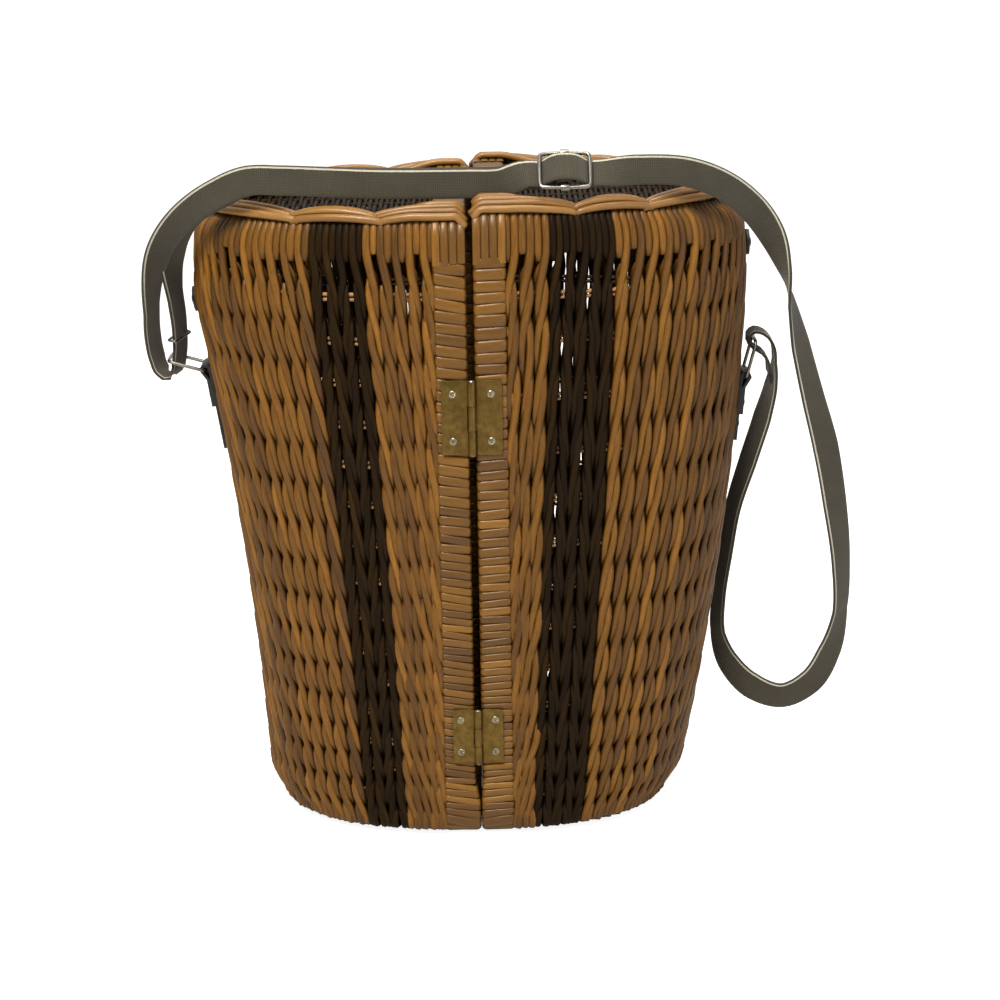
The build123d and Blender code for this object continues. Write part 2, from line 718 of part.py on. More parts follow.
# Leather closure on the back: fixed tab on the left frame, flap over the split, press stud
flap_low = back + closure_tab_thickness - closure_leather
tab_top = back + closure_tab_thickness
closure_tab = closure_strip(-closure_tab_end, -closure_bend, back, closure_tab_thickness, -1)
closure_flap = closure_strip(-closure_bend + closure_gap, closure_flap_reach, flap_low, closure_leather, 1)
closure_rivets = []
rivet_x = -(closure_tab_end + closure_bend) / 2
for end in (-1, 1):
    place = (rivet_x, 0, closure_height + end * closure_rivet_rise)
    start = (place[0], tab_top, place[2])
    stop = (place[0], back - hinge_screw_length, place[2])
    closure_rivets.append(dome(start, (0, 1, 0), rivet_head, rivet_dome) + cylinder_between(start, stop, rivet_shank))
    hole = cylinder_between((place[0], tab_top + 2, place[2]), (place[0], stop[1] - 1, place[2]),
                            rivet_shank + fit_gap)
    closure_tab -= hole
    parts["left_mouth_frame"] -= hole
stud_x = (mouth + closure_flap_reach) / 2
stud_shank = cylinder_between((stud_x, back + stud_base_height, closure_height),
                              (stud_x, back - hinge_screw_length, closure_height), rivet_shank)
stud_base = cylinder_between((stud_x, back, closure_height), (stud_x, back + stud_base_height, closure_height),
                             stud_base_radius) + stud_shank
parts["right_mouth_frame"] -= cylinder_between(
    (stud_x, back + 2, closure_height), (stud_x, back - hinge_screw_length - 1, closure_height),
    rivet_shank + fit_gap)
cap_shank = cylinder_between((stud_x, flap_low, closure_height), (stud_x, tab_top, closure_height), rivet_shank)
closure_flap -= cylinder_between((stud_x, flap_low - 1, closure_height), (stud_x, tab_top + 1, closure_height),
                                 rivet_shank + fit_gap)
parts["closure_tab"] = closure_tab
parts["closure_rivets"] = Compound(children=closure_rivets)
parts["closure_flap"] = closure_flap
parts["closure_stud_cap"] = dome((stud_x, tab_top, closure_height), (0, 1, 0), press_stud_radius,
                                 press_stud_height) + cap_shank
parts["closure_stud_base"] = stud_base

# Slide adjuster: a wire frame with a centre bar whose ends are crimped round its rails
lean = math.radians(slide_lean)
slide_plane = Plane(origin=slide_centre, x_dir=(1, 0, 0), z_dir=(0, -math.cos(lean), math.sin(lean)))
rail_length = slide_length - 2 * slide_rail
rail_gap = slide_height - 2 * slide_rail
parts["slide_frame"] = wire_rectangle(slide_plane, rail_length, rail_gap, slide_rail, slide_corner)
centre_bar = cylinder_between(slide_point(0, 0, -rail_gap / 2), slide_point(0, 0, rail_gap / 2), slide_bar_radius)
for end in (-1, 1):
    start = slide_point(-crimp_length / 2, 0, end * rail_gap / 2)
    stop = slide_point(crimp_length / 2, 0, end * rail_gap / 2)
    centre_bar += cylinder_between(start, stop, slide_rail + crimp_wall)
for end in (-1, 1):
    start = slide_point(-crimp_length, 0, end * rail_gap / 2)
    stop = slide_point(crimp_length, 0, end * rail_gap / 2)
    centre_bar -= cylinder_between(start, stop, slide_rail + fit_gap)
parts["slide_bar"] = centre_bar

# The webbing is one length: sewn round the slide's bar, out to the left ring, doubled back
# over the top and through the slide, then down the long loop to the right ring
across_slide = (0, math.sin(lean), math.cos(lean))
over_bar = [(slide_point(along, raised), across_slide) for along, raised in slide_weave]
round_bar = [(slide_point(along, raised), across_slide) for along, raised in slide_fold]
parts["strap_left_run"] = ribbon(top_run_left + returning_leg)
parts["strap_right_run"] = ribbon([((0.4, -82, 409.4), upright), ((20, -82, 409.8), upright)]
                                  + over_bar + long_loop_right)
parts["strap_sewn_end"] = ribbon([((0.4, -78, 409.4), upright), ((20, -78, 409.8), upright)] + round_bar)

# Small wire loop that keeps the returning leg folded
leg_start, leg_end = Vector(*top_run_left[-1][0]), Vector(*returning_leg[0][0])
along = (leg_end - leg_start).normalized()
across = Vector(*edgeways)
across = (across - along * across.dot(along)).normalized()
place = leg_start + (leg_end - leg_start) * loop_share
parts["strap_keeper_loop"] = wire_rectangle(
    Plane(origin=place, x_dir=across, z_dir=along), strap_width + 2 * loop_wire + loop_slack, loop_depth,
    loop_wire, loop_corner)

for name, shape in parts.items():
    export_step(shape, "parts/" + name + ".step")
    print(name, len(shape.solids()), round(shape.volume))
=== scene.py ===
"""Looks of the woven willow wine carrier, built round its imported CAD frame.

Lengths in this script are millimetres until a piece is made, +Z up, front at -Y. Each
piece carries a point attribute "grain": how far along its rod or strip a point lies, how
far round or across it, and a tone between 0 and 1 that is the rod's own.
"""
from functools import partial
import json
import math
import bmesh
import bpy
import numpy as np
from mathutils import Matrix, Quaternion, Vector

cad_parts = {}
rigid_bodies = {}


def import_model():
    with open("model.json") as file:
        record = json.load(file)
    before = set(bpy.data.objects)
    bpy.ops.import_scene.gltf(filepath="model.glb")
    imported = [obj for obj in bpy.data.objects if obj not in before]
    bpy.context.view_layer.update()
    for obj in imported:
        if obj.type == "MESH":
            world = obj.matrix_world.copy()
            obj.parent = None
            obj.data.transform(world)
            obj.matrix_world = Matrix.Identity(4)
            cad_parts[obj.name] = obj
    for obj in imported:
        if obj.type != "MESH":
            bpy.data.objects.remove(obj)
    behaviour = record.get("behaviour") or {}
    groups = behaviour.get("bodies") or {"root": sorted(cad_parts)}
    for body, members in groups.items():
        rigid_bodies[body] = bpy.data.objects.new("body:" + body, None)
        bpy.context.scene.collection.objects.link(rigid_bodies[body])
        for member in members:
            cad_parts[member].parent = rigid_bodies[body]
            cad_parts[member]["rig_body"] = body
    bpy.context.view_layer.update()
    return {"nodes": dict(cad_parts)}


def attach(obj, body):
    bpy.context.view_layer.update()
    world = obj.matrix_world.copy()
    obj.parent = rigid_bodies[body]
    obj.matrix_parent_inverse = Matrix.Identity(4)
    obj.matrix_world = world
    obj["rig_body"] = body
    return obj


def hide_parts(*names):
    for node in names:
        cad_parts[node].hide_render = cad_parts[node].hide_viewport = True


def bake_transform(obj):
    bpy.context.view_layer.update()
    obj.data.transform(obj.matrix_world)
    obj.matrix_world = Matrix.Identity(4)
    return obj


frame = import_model()
rng = np.random.default_rng(11)
MM = 0.001
SIDES = {"left": -1, "right": 1}
# Cut end of a rod, in shares of its radius
ROD_END_LENGTH = 0.35
ROD_END_RADIUS = 0.45


# Shapes

def in_scene(name, data):
    """Adds an object to the scene."""
    made = bpy.data.objects.new(name, data)
    bpy.context.scene.collection.objects.link(made)
    return made


class Batch:
    """Collects the strips and tubes that make up one piece."""

    def __init__(self):
        self.verts = []
        self.faces = []
        self.grain = []
        self.count = 0

    def add(self, verts, faces, along=0, across=0, tone=0):
        """Takes in a form, with the three values of its grain."""
        self.verts.append(np.asarray(verts, float))
        self.faces.extend([tuple(i + self.count for i in face) for face in faces])
        grain = np.zeros((len(verts), 3))
        for k, values in enumerate((along, across, tone)):
            grain[:, k] = values
        self.grain.append(grain)
        self.count += len(verts)

    def piece(self, name, material, body=None):
        """Makes the piece in metres, smooth, riding on its body."""
        mesh = bpy.data.meshes.new(name)
        verts = np.concatenate(self.verts) * MM
        mesh.from_pydata(verts.tolist(), [], self.faces)
        grain = mesh.attributes.new("grain", "FLOAT_VECTOR", "POINT")
        grain.data.foreach_set("vector", np.concatenate(self.grain).astype(np.float32).ravel())
        mesh.materials.append(material)
        mesh.update()
        mesh.shade_smooth()
        piece = in_scene(name, mesh)
        if body:
            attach(piece, body)
        return piece


def unit(v):
    return v / np.maximum(np.linalg.norm(v, axis=-1, keepdims=True), 1e-9)


def grid_faces(rows, columns, closed_columns=True):
    """Quads between rows of a grid of points, whose columns may run round into a ring."""
    faces = []
    for i in range(rows - 1):
        a = i * columns
        b = a + columns
        for k in range(columns if closed_columns else columns - 1):
            m = (k + 1) % columns
            faces.append((a + k, a + m, b + m, b + k))
    return faces


def with_ends(faces, rows, columns):
    """Closes both ends of a ring of columns."""
    faces.append(tuple(range(columns - 1, -1, -1)))
    faces.append(tuple((rows - 1) * columns + k for k in range(columns)))
    return faces


def lengths_along(path):
    """Distance of each point of a path from its start."""
    return np.concatenate([[0], np.cumsum(np.linalg.norm(np.diff(path, axis=0), axis=1))])


def tube(batch, path, normal, radius, tone, sides=7, flat=1.0):
    """Rod along a path; its ends are drawn in so that they look cut round."""
    path = np.asarray(path, float)
    radius = np.broadcast_to(np.asarray(radius, float), (len(path),))
    normal = np.broadcast_to(np.asarray(normal, float), path.shape)
    tangent = unit(np.gradient(path, axis=0))
    lead = path[:1] - tangent[:1] * radius[0] * ROD_END_LENGTH
    tail = path[-1:] + tangent[-1:] * radius[-1] * ROD_END_LENGTH
    path = np.concatenate([lead, path, tail])
    normal = np.concatenate([normal[:1], normal, normal[-1:]])
    tangent = np.concatenate([tangent[:1], tangent, tangent[-1:]])
    radius = np.concatenate([radius[:1] * ROD_END_RADIUS, radius, radius[-1:] * ROD_END_RADIUS])
    count = len(path)
    side = unit(np.cross(tangent, normal))
    up = np.cross(side, tangent)
    turn = np.linspace(0, 2 * np.pi, sides, endpoint=False)
    ring = np.cos(turn)[None, :, None] * side[:, None] + flat * np.sin(turn)[None, :, None] * up[:, None]
    verts = (path[:, None] + radius[:, None, None] * ring).reshape(-1, 3)
    faces = with_ends(grid_faces(count, sides), count, sides)
    batch.add(verts, faces, np.repeat(lengths_along(path), sides), np.tile(turn, count), tone)


# The shell's form

# The outline is a rounded oval between the two frames; the half widths at three levels
# set its sides. Wall tops are where the border begins.
HEIGHT = 400.0
DEPTH = 100.0
FRAME_BACK = 22.0
LEVELS = np.array([40.0, 160.0, 330.0])
WIDTHS = {"left": np.array([138.5, 148.0, 173.0]), "right": np.array([137.0, 157.0, 172.5])}
WALL_TOP = {"left": 386.0, "right": 390.0}
BASE_SIDE = 28.0
BASE_EDGE = 4.0
SHOULDER = 30.0
OVAL = 0.8


def inset(radius, distance):
    """How far a rounded edge draws a wall in, at a distance from that edge."""
    d = np.clip(distance, 0, radius)
    return radius - np.sqrt(np.maximum(radius ** 2 - (radius - d) ** 2, 0))


def reach(name, z):
    """Half width of the shell at a height."""
    zz = np.minimum(z, LEVELS[2])
    total = 0
    for i in range(3):
        share = 1.0
        for k in range(3):
            if k != i:
                share = share * (zz - LEVELS[k]) / (LEVELS[i] - LEVELS[k])
        total = total + WIDTHS[name][i] * share
    return total - inset(SHOULDER, np.maximum(HEIGHT - z, 0)) - inset(BASE_SIDE, z)


def outline(name, z, angle):
    """Point of the shell's outer face; the angle runs from front, 0, to back, pi."""
    x = SIDES[name] * reach(name, z) * np.abs(np.sin(angle)) ** OVAL
    y = -np.sign(np.cos(angle)) * (DEPTH - inset(BASE_EDGE, z)) * np.abs(np.cos(angle)) ** OVAL
    return np.stack([x, y, z + 0 * x], -1)


def first_angle(name, z):
    """Angle at which the outline leaves the frame."""
    return math.asin((FRAME_BACK / reach(name, z)) ** (1 / OVAL))


def row_of_points(name, z, shares):
    """Points and outward normals at a height, at shares of the outline from frame to frame."""
    start = first_angle(name, z)
    angles = np.linspace(start, math.pi - start, 500)
    points = outline(name, z, angles)
    length = lengths_along(points)
    found = np.interp(shares * length[-1], length, angles)
    place = outline(name, z, found)
    step = 0.012
    round_it = outline(name, z, found + step) - outline(name, z, found - step)
    low, high = max(z - 1.5, 0.2), min(z + 1.5, HEIGHT - 1)
    up = outline(name, high, found) - outline(name, low, found)
    normal = unit(np.cross(round_it, up)) * -SIDES[name]
    outwards = np.sign(np.sum(normal[..., :2] * place[..., :2], -1))
    return place, normal * outwards[..., None], length[-1]


def girth(name, z):
    """Length of the outline from frame to frame at a height."""
    return row_of_points(name, z, np.array([0.5]))[2]


def share_at_x(name, z, x):
    """Share of the outline at which its front passes a distance from the split."""
    start = first_angle(name, z)
    angles = np.linspace(start, math.pi - start, 900)
    points = outline(name, z, angles)
    length = lengths_along(points)
    half = len(angles) // 2
    return float(np.interp(x, np.abs(points[:half, 0]), length[:half])) / length[-1]


def smoothstep(a, b, x):
    """Rises softly from 0 at a to 1 at b."""
    t = np.clip((x - a) / (b - a), 0, 1)
    return t * t * (3 - 2 * t)


# Colours and finishes

def linear(hexed):
    """Colour that Blender's nodes take, from an sRGB hex."""
    out = []
    for i in (1, 3, 5):
        c = int(hexed[i:i + 2], 16) / 255
        out.append(c / 12.92 if c <= 0.04045 else ((c + 0.055) / 1.055) ** 2.4)
    return (*out, 1.0)


def node(tree, kind, settings=None, links=None):
    """Adds a node with its settings and links.

    Settings are attributes, socket values or the (place, hex) stops of a colour ramp.
    Links are the nodes or sockets that feed it.
    """
    made = tree.nodes.new("ShaderNode" + kind)
    settings = dict(settings or {})
    stops = settings.pop("stops", [])
    for key, value in settings.items():
        if isinstance(key, str) and hasattr(made, key) and key not in made.inputs:
            setattr(made, key, value)
        else:
            made.inputs[key].default_value = value
    for _ in stops[2:]:
        made.color_ramp.elements.new(0.5)
    for i, (place, hexed) in enumerate(stops):
        made.color_ramp.elements[i].position = place
        made.color_ramp.elements[i].color = linear(hexed)
    for key, source in (links or {}).items():
        if hasattr(source, "outputs"):
            source = source.outputs[0]
        tree.links.new(source, made.inputs[key])
    return made


def empty_tree(owner):
    """The node tree of a material or world, emptied."""
    owner.use_nodes = True
    owner.node_tree.nodes.clear()
    return owner.node_tree


def rod_material(name, stops, rough, rough_spread, streak_dark, coat=0.0, shine=0.4):
    """Finish of split or whole rods: fibres run along the rod, its own tone sets the shade.

    Fibre streaks about 0.5 mm wide run tens of millimetres, with slow blotches of 30 mm.
    A rod's tone also gives it its own place in the noise. Painted shade darkens
    gaps narrower than about 7 mm, where the rods shade one another.
    """
    material = bpy.data.materials.new(name)
    add = partial(node, empty_tree(material))
    grain = add("Attribute", {"attribute_name": "grain"})
    along, around, tone = add("SeparateXYZ", {}, {0: grain.outputs["Vector"]}).outputs
    slow = add("Math", {"operation": "MULTIPLY", 1: 0.035}, {0: along})
    shifted = add("Math", {"operation": "MULTIPLY_ADD", 1: 57.0}, {0: tone, 2: slow})
    spread = add("Math", {"operation": "MULTIPLY", 1: 31.0}, {0: tone})
    place = add("CombineXYZ", {}, {0: shifted, 1: around, 2: spread})
    fibre = add("TexNoise", {"Scale": 4.0, "Detail": 5.0, "Roughness": 0.65}, {"Vector": place})
    blotch = add("TexNoise", {"Scale": 0.9, "Detail": 2.0}, {"Vector": place})
    eased = add("Math", {"operation": "MULTIPLY", 1: 0.45}, {0: blotch})
    shade = add("Math", {"operation": "MULTIPLY_ADD", 1: 0.55}, {0: tone, 2: eased})
    base = add("ValToRGB", {"stops": stops}, {0: shade})
    streak = add("MapRange", {"From Min": 0.35, "From Max": 0.7, "To Min": streak_dark, "To Max": 1.08},
                 {0: fibre})
    mixed = add("VectorMath", {"operation": "SCALE"}, {0: base, "Scale": streak})
    # Painted shade: ambient occlusion darkens the rods' colour in gaps narrower than about 7 mm, where the
    # rods shade one another
    crevice = add("AmbientOcclusion", {"samples": 6, "Distance": 0.007})
    painted_crevice_shade = add("MapRange", {"From Min": 0.15, "From Max": 0.75, "To Min": 0.16, "To Max": 1.0},
                {0: crevice.outputs["AO"]})
    rescaled = add("VectorMath", {"operation": "SCALE"}, {0: mixed, "Scale": painted_crevice_shade})
    gloss = add("MapRange", {"To Min": rough - rough_spread, "To Max": rough + rough_spread}, {0: blotch})
    bump = add("Bump", {"Strength": 0.25, "Distance": 0.00025}, {"Height": fibre})
    shader = add("BsdfPrincipled",
                 {"Specular IOR Level": shine, "Coat Weight": coat, "Coat Roughness": 0.22},
                 {"Base Color": rescaled, "Roughness": gloss, "Normal": bump})
    add("OutputMaterial", {}, {0: shader})
    return material


# Steamed willow rods, varnished long ago: warm brown, darker along the fibres, soft shine.
willow = rod_material(
    "varnished_steamed_willow",
    [(0.0, "#3b2508"), (0.3, "#59390d"), (0.55, "#785012"), (0.8, "#96661d"), (1.0, "#b5812f")],
    0.44, 0.08, 0.64, 0.06, 0.32)
# The same rods stained espresso before weaving: near black, brown where the stain is thin.
# On the top panel these rods' near black is painted shade under the strap; in the wall stripes it is their
# stain
dark_willow = rod_material(
    "espresso_stain_and_painted_shade_willow",
    [(0.0, "#100902"), (0.4, "#1e1204"), (0.75, "#302006"), (1.0, "#4b3410")],
    0.5, 0.06, 0.6, 0.0, 0.1)
# Peeled pale stakes that the rods weave round, left almost raw.
pale_willow = rod_material(
    "peeled_pale_willow",
    [(0.0, "#b07f50"), (0.5, "#cf9f6c"), (1.0, "#e8c596")], 0.5, 0.08, 0.85)
# Long border rods, bleached paler than the wall and varnished.
border_willow = rod_material(
    "honey_border_willow",
    [(0.0, "#65421a"), (0.35, "#825a27"), (0.65, "#9c7238"), (1.0, "#b98e4f")], 0.38, 0.07, 0.8, 0.2)
# Flat split cane wound round the frames: golden, glassy skin side out.
cane = rod_material(
    "flat_split_cane",
    [(0.0, "#442b07"), (0.35, "#63410b"), (0.7, "#815812"), (1.0, "#a87a26")], 0.38, 0.07, 0.8, 0.1)


def metal_material(name, hexed, rough, pits_dark):
    """Plain metal with faint tarnish in blotches of about 4 mm."""
    material = bpy.data.materials.new(name)
    add = partial(node, empty_tree(material))
    spot = add("TexCoord").outputs["Object"]
    noise = add("TexNoise", {"Scale": 240.0, "Detail": 4.0, "Roughness": 0.6}, {"Vector": spot})
    fine = add("TexNoise", {"Scale": 1600.0, "Detail": 3.0}, {"Vector": spot})
    dull = add("MapRange", {"From Min": 0.35, "From Max": 0.7, "To Min": pits_dark, "To Max": 1.0},
               {0: noise})
    base = add("RGB")
    base.outputs[0].default_value = linear(hexed)
    mixed = add("VectorMath", {"operation": "SCALE"}, {0: base, "Scale": dull})
    gloss = add("MapRange", {"To Min": rough + 0.1, "To Max": rough - 0.05}, {0: noise})
    bump = add("Bump", {"Strength": 0.12, "Distance": 0.0001}, {"Height": fine})
    shader = add("BsdfPrincipled", {"Metallic": 1.0},
                 {"Base Color": mixed, "Roughness": gloss, "Normal": bump})
    add("OutputMaterial", {}, {0: shader})
    return material


# Pressed hinge leaves, their thin bronze plating gone dull and olive.
hinge_metal = metal_material("dull_bronzed_hinge_steel", "#7b6436", 0.36, 0.6)
# Bright nickel-plated pin, turned and burnished by use.
pin_metal = metal_material("nickel_plated_pin", "#c9c6bd", 0.2, 0.85)
# Zinc-plated screws with a little grime.
screw_metal = metal_material("zinc_plated_screws", "#a59c86", 0.3, 0.6)
# Antique brass tubular rivets, nearly black in their recesses.
rivet_metal = metal_material("antique_brass_rivets", "#7a6a4a", 0.35, 0.6)
# Nickel press studs.
stud_metal = metal_material("nickel_press_studs", "#b9b5aa", 0.25, 0.8)
# Drawn nickel-plated wire of rings, slide and loop.
wire_steel = metal_material("nickel_plated_wire", "#8f8d88", 0.27, 0.7)


def leather_material():
    """Black saddle leather, waxed: pebbled grain of about 1 mm, edges slightly worn."""
    material = bpy.data.materials.new("black_saddle_leather")
    add = partial(node, empty_tree(material))
    spot = add("TexCoord").outputs["Object"]
    cells = add("TexVoronoi", {"Scale": 900.0}, {"Vector": spot})
    wear = add("TexNoise", {"Scale": 70.0, "Detail": 4.0}, {"Vector": spot})
    black = add("ValToRGB", {"stops": [(0.35, "#0c0c0b"), (0.7, "#1b1a18")]}, {0: wear})
    gloss = add("MapRange", {"To Min": 0.38, "To Max": 0.55}, {0: wear})
    bump = add("Bump", {"Strength": 0.3, "Distance": 0.0002}, {"Height": cells})
    shader = add("BsdfPrincipled", {}, {"Base Color": black, "Roughness": gloss, "Normal": bump})
    add("OutputMaterial", {}, {0: shader})
    return material


leather = leather_material()


def webbing_material():
    """Cotton webbing, plain weave of 0.9 mm ends and 1.1 mm picks, a pale line near one edge.

    The grain attribute holds millimetres along and across the webbing.
    """
    material = bpy.data.materials.new("grey_olive_cotton_webbing")
    add = partial(node, empty_tree(material))
    grain = add("Attribute", {"attribute_name": "grain"})
    along, across, _ = add("SeparateXYZ", {}, {0: grain.outputs["Vector"]}).outputs
    waves = []
    for source, spacing in ((along, 1.1), (across, 0.9)):
        turns = add("Math", {"operation": "MULTIPLY", 1: math.pi / spacing}, {0: source})
        waves.append(add("Math", {"operation": "SINE"}, {0: turns}))
    woven = add("Math", {"operation": "MULTIPLY"}, {0: waves[0], 1: waves[1]})
    lift = add("Math", {"operation": "ABSOLUTE"}, {0: woven})
    spot = add("CombineXYZ", {}, {0: along, 1: across})
    fuzz = add("TexNoise", {"Scale": 1.7, "Detail": 5.0, "Roughness": 0.7}, {"Vector": spot})
    slow = add("TexNoise", {"Scale": 0.05, "Detail": 3.0}, {"Vector": spot})
    half = add("Math", {"operation": "MULTIPLY", 1: 0.5}, {0: fuzz})
    soft = add("Math", {"operation": "MULTIPLY_ADD", 1: 0.5}, {0: lift, 2: half})
    shades = [(0.15, "#201e14"), (0.5, "#3a372a"), (0.85, "#544f3d")]
    cloth = add("ValToRGB", {"stops": shades}, {0: soft})
    rescaled = add("MapRange", {"From Min": 0.3, "From Max": 0.7, "To Min": 0.85, "To Max": 1.12}, {0: slow})
    cloth = add("VectorMath", {"operation": "SCALE"}, {0: cloth, "Scale": rescaled})
    away = add("Math", {"operation": "SUBTRACT", 1: 7.7}, {0: across})
    away = add("Math", {"operation": "ABSOLUTE"}, {0: away})
    line = add("MapRange", {"From Min": 0.45, "From Max": 0.6, "To Min": 1.0, "To Max": 0.0}, {0: away})
    thread = add("ValToRGB", {"stops": [(0.3, "#a3a294"), (0.65, "#d9d8ca")]}, {0: fuzz})
    mixed = add("Mix", {"data_type": "RGBA"}, {0: line, 6: cloth, 7: thread})
    bump = add("Bump", {"Strength": 0.7, "Distance": 0.0004}, {"Height": soft})
    shader = add("BsdfPrincipled", {"Roughness": 0.82, "Sheen Weight": 0.25},
                 {"Base Color": mixed.outputs[2], "Normal": bump})
    add("OutputMaterial", {}, {0: shader})
    return material


webbing = webbing_material()


# Woven walls

# Heights of the pairs of pale stakes, counted down the photographed walls
ROWS = {
    "left": np.array([344, 317, 291.5, 265.5, 240.6, 215.5, 190, 166.5, 143.6, 121, 101, 81.5, 61.8,
                      44.6, 27.2]),
    "right": np.array([344, 317.6, 282, 248.7, 219, 190, 163, 137, 110, 86, 64.5, 45, 27.5]),
}
ROW_ABOVE = 27.0
ROW_BELOW = 17.0
# Edges of the dark stripe from the split, at the rim and at the foot
STRIPE = {"left": ((63.0, 95.0), (46.0, 73.0)), "right": ((48.0, 86.0), (34.0, 67.0))}
STRIPE_COLUMNS = {"left": 4, "right": 5}
STRIPE_FOOT = 30.0
COLUMN = 9.4
ROD_RADIUS = 2.5
DARK_RADIUS = 2.32
STAKE_RADIUS = 1.3
END_RADIUS = 1.95
ROD_FLAT = 0.86
MID_INSET = 5.0
STAKE_INSET = 4.2
STAKE_APART = 1.5
# How far a rod goes in and out between the stakes, and to the side
SWING = 2.85
DEPTH_LEAN = 0.35
SIDESTEP = 2.5
STRIPE_SIDESTEP = 0.72
STRIPE_OPENING = 0.9
# How far rods wander to the side, and how much more within a zone beside the frames
WANDER = 0.3
EDGE_WANDER = 1.4
EDGE_ZONE = (8, 34)
STRIDE = 4.8
FOOT = 9.5
# Heights over the wall's top at which rods end under the border, and how far they are
# drawn in at the shoulder and there
UNDER_BORDER = (5.5, 4.2, 2.2)
SHOULDER_IN = 1.0
BORDER_IN = 6.0
# Heights between which a column's second rod stops, starts anew and its third one starts
SECOND_STOPS = (363, 370)
SECOND_STARTS = (352, 359)
THIRD_STARTS = (358, 367)
TIP_RADIUS = 0.45
TIP_LENGTH = 14
# Heights between which the rods come to lie side by side in front of the topmost stakes
PACKED_FROM = 352.0
PACKED_BY = 372.0
PACKED_DEPTH = 1.5
# Places of a column's three rods where they are packed, in shares of the column's width
PACKED_PLACES = (0.24, -0.27, 0.25)
UNDER_BASE = 4.6


def row_number(name, z):
    """Count of rows passed on the way down; whole numbers lie on the pale stakes."""
    rows = ROWS[name]
    index = np.interp(-z, -rows, np.arange(len(rows)))
    index = np.where(z > rows[0], -(z - rows[0]) / ROW_ABOVE, index)
    return np.where(z < rows[-1], len(rows) - 1 + (rows[-1] - z) / ROW_BELOW, index)


def share_map(name):
    """How a share of the outline at the rim turns into its share at the foot."""
    shares = []
    for z, (near, far) in zip((WALL_TOP[name], STRIPE_FOOT), STRIPE[name]):
        front = [0.0, share_at_x(name, z, near), share_at_x(name, z, far)]
        shares.append(np.array(front + [0.5, 1 - front[2], 1 - front[1], 1.0]))
    return shares


def turned_under(path, normal, under=16.0):
    """Carries a rod's foot round the edge of the base and a little way inwards."""
    last = path[-1]
    inwards = -np.array([normal[-1][0], normal[-1][1], 0.0])
    inwards /= np.linalg.norm(inwards)
    drop = last[2] - UNDER_BASE
    extra, faces = [], []
    for turn in (30, 60, 90):
        t = math.radians(turn)
        extra.append(last + inwards * drop * (1 - math.cos(t)) - np.array([0, 0, drop * math.sin(t)]))
        faces.append(normal[-1] * math.cos(t) - np.array([0, 0, math.sin(t)]))
    extra.append(extra[-1] + inwards * under)
    faces.append(np.array([0, 0, -1.0]))
    return np.concatenate([path, extra]), np.concatenate([normal, faces])


def wale(rho, member):
    """Depth and sidestep of one of a column's three rods: over two rows, behind the third.

    A rod comes out on the outer side of its column, leans towards the frame as it runs
    down and dives behind the next stake, under the two that follow it.
    """
    turn = 2 * np.pi * (rho - member - 1) / 3
    ahead = 0.5 - np.cos(turn)
    forward = np.sin(np.pi / 2 * np.clip(ahead, 0, 1))
    behind = np.sin(np.pi / 2 * np.clip(-2 * ahead, 0, 1))
    depth = SWING * (forward - behind) + DEPTH_LEAN * np.sin(turn)
    return depth, SIDESTEP * np.sin(turn)


def columns_of(name, tops, length):
    """Columns of three rods from frame to frame: middle, width, whether dark, and number."""
    edges = [-0.004, tops[1], tops[2], tops[4], tops[5], 1.004]
    columns = []
    for span, (low, high) in enumerate(zip(edges, edges[1:])):
        stained = span % 2 == 1
        count = max(1, math.ceil((high - low) * length / COLUMN - 0.3))
        if stained:
            count = STRIPE_COLUMNS[name]
        for i in range(count):
            columns.append((low + (high - low) * (i + 0.5) / count, (high - low) / count, stained, i))
    return columns


def runs_of(member, heights):
    """Stretches of a column's rod, as first and last height, and whether it starts in a tip."""
    def nearest(between):
        return int(np.argmin(np.abs(heights - rng.uniform(*between))))

    if member == 0:
        return [(0, len(heights), False)]
    if member == 1:
        stop = nearest(SECOND_STOPS)
        return [(0, stop + 1, False), (nearest(SECOND_STARTS), len(heights), True)]
    return [(nearest(THIRD_STARTS), len(heights), True)]


def column_rods(column, rho, heights, packed, length):
    """The three rods of a column, each with its depth and sidestep at every height.

    In the stripes every other column leans the other way, and pairs of columns open a
    little at the stakes. Beside the frames the rods wander more.
    """
    share, pitch, stained, order = column
    wild = 1.0 + EDGE_WANDER * float(1 - smoothstep(*EDGE_ZONE, min(share, 1 - share) * length))
    turned_about = -1 if stained and order % 2 else 1
    rods = []
    for member in range(3):
        depth, step = wale(np.maximum(rho, -0.5) if member == 0 else rho, member)
        step = turned_about * step
        if stained:
            near_stake = np.exp(-((rho - np.round(rho)) / 0.15) ** 2) * (rho > -0.4)
            step = STRIPE_SIDESTEP * step - turned_about * STRIPE_OPENING * near_stake
        depth = depth + (PACKED_DEPTH - depth) * packed
        phase = rng.uniform(0, 2 * np.pi, 3)
        drift = rng.normal(0, WANDER, 2) * wild
        step = step + drift[0] * np.sin(np.pi * rho / 2 + phase[0])
        step = step + drift[1] * np.sin(2.1 * rho + phase[1])
        step = step + (PACKED_PLACES[member] * pitch * length - step) * packed
        rods.append((share, stained, depth, step, runs_of(member, heights)))
    return rods


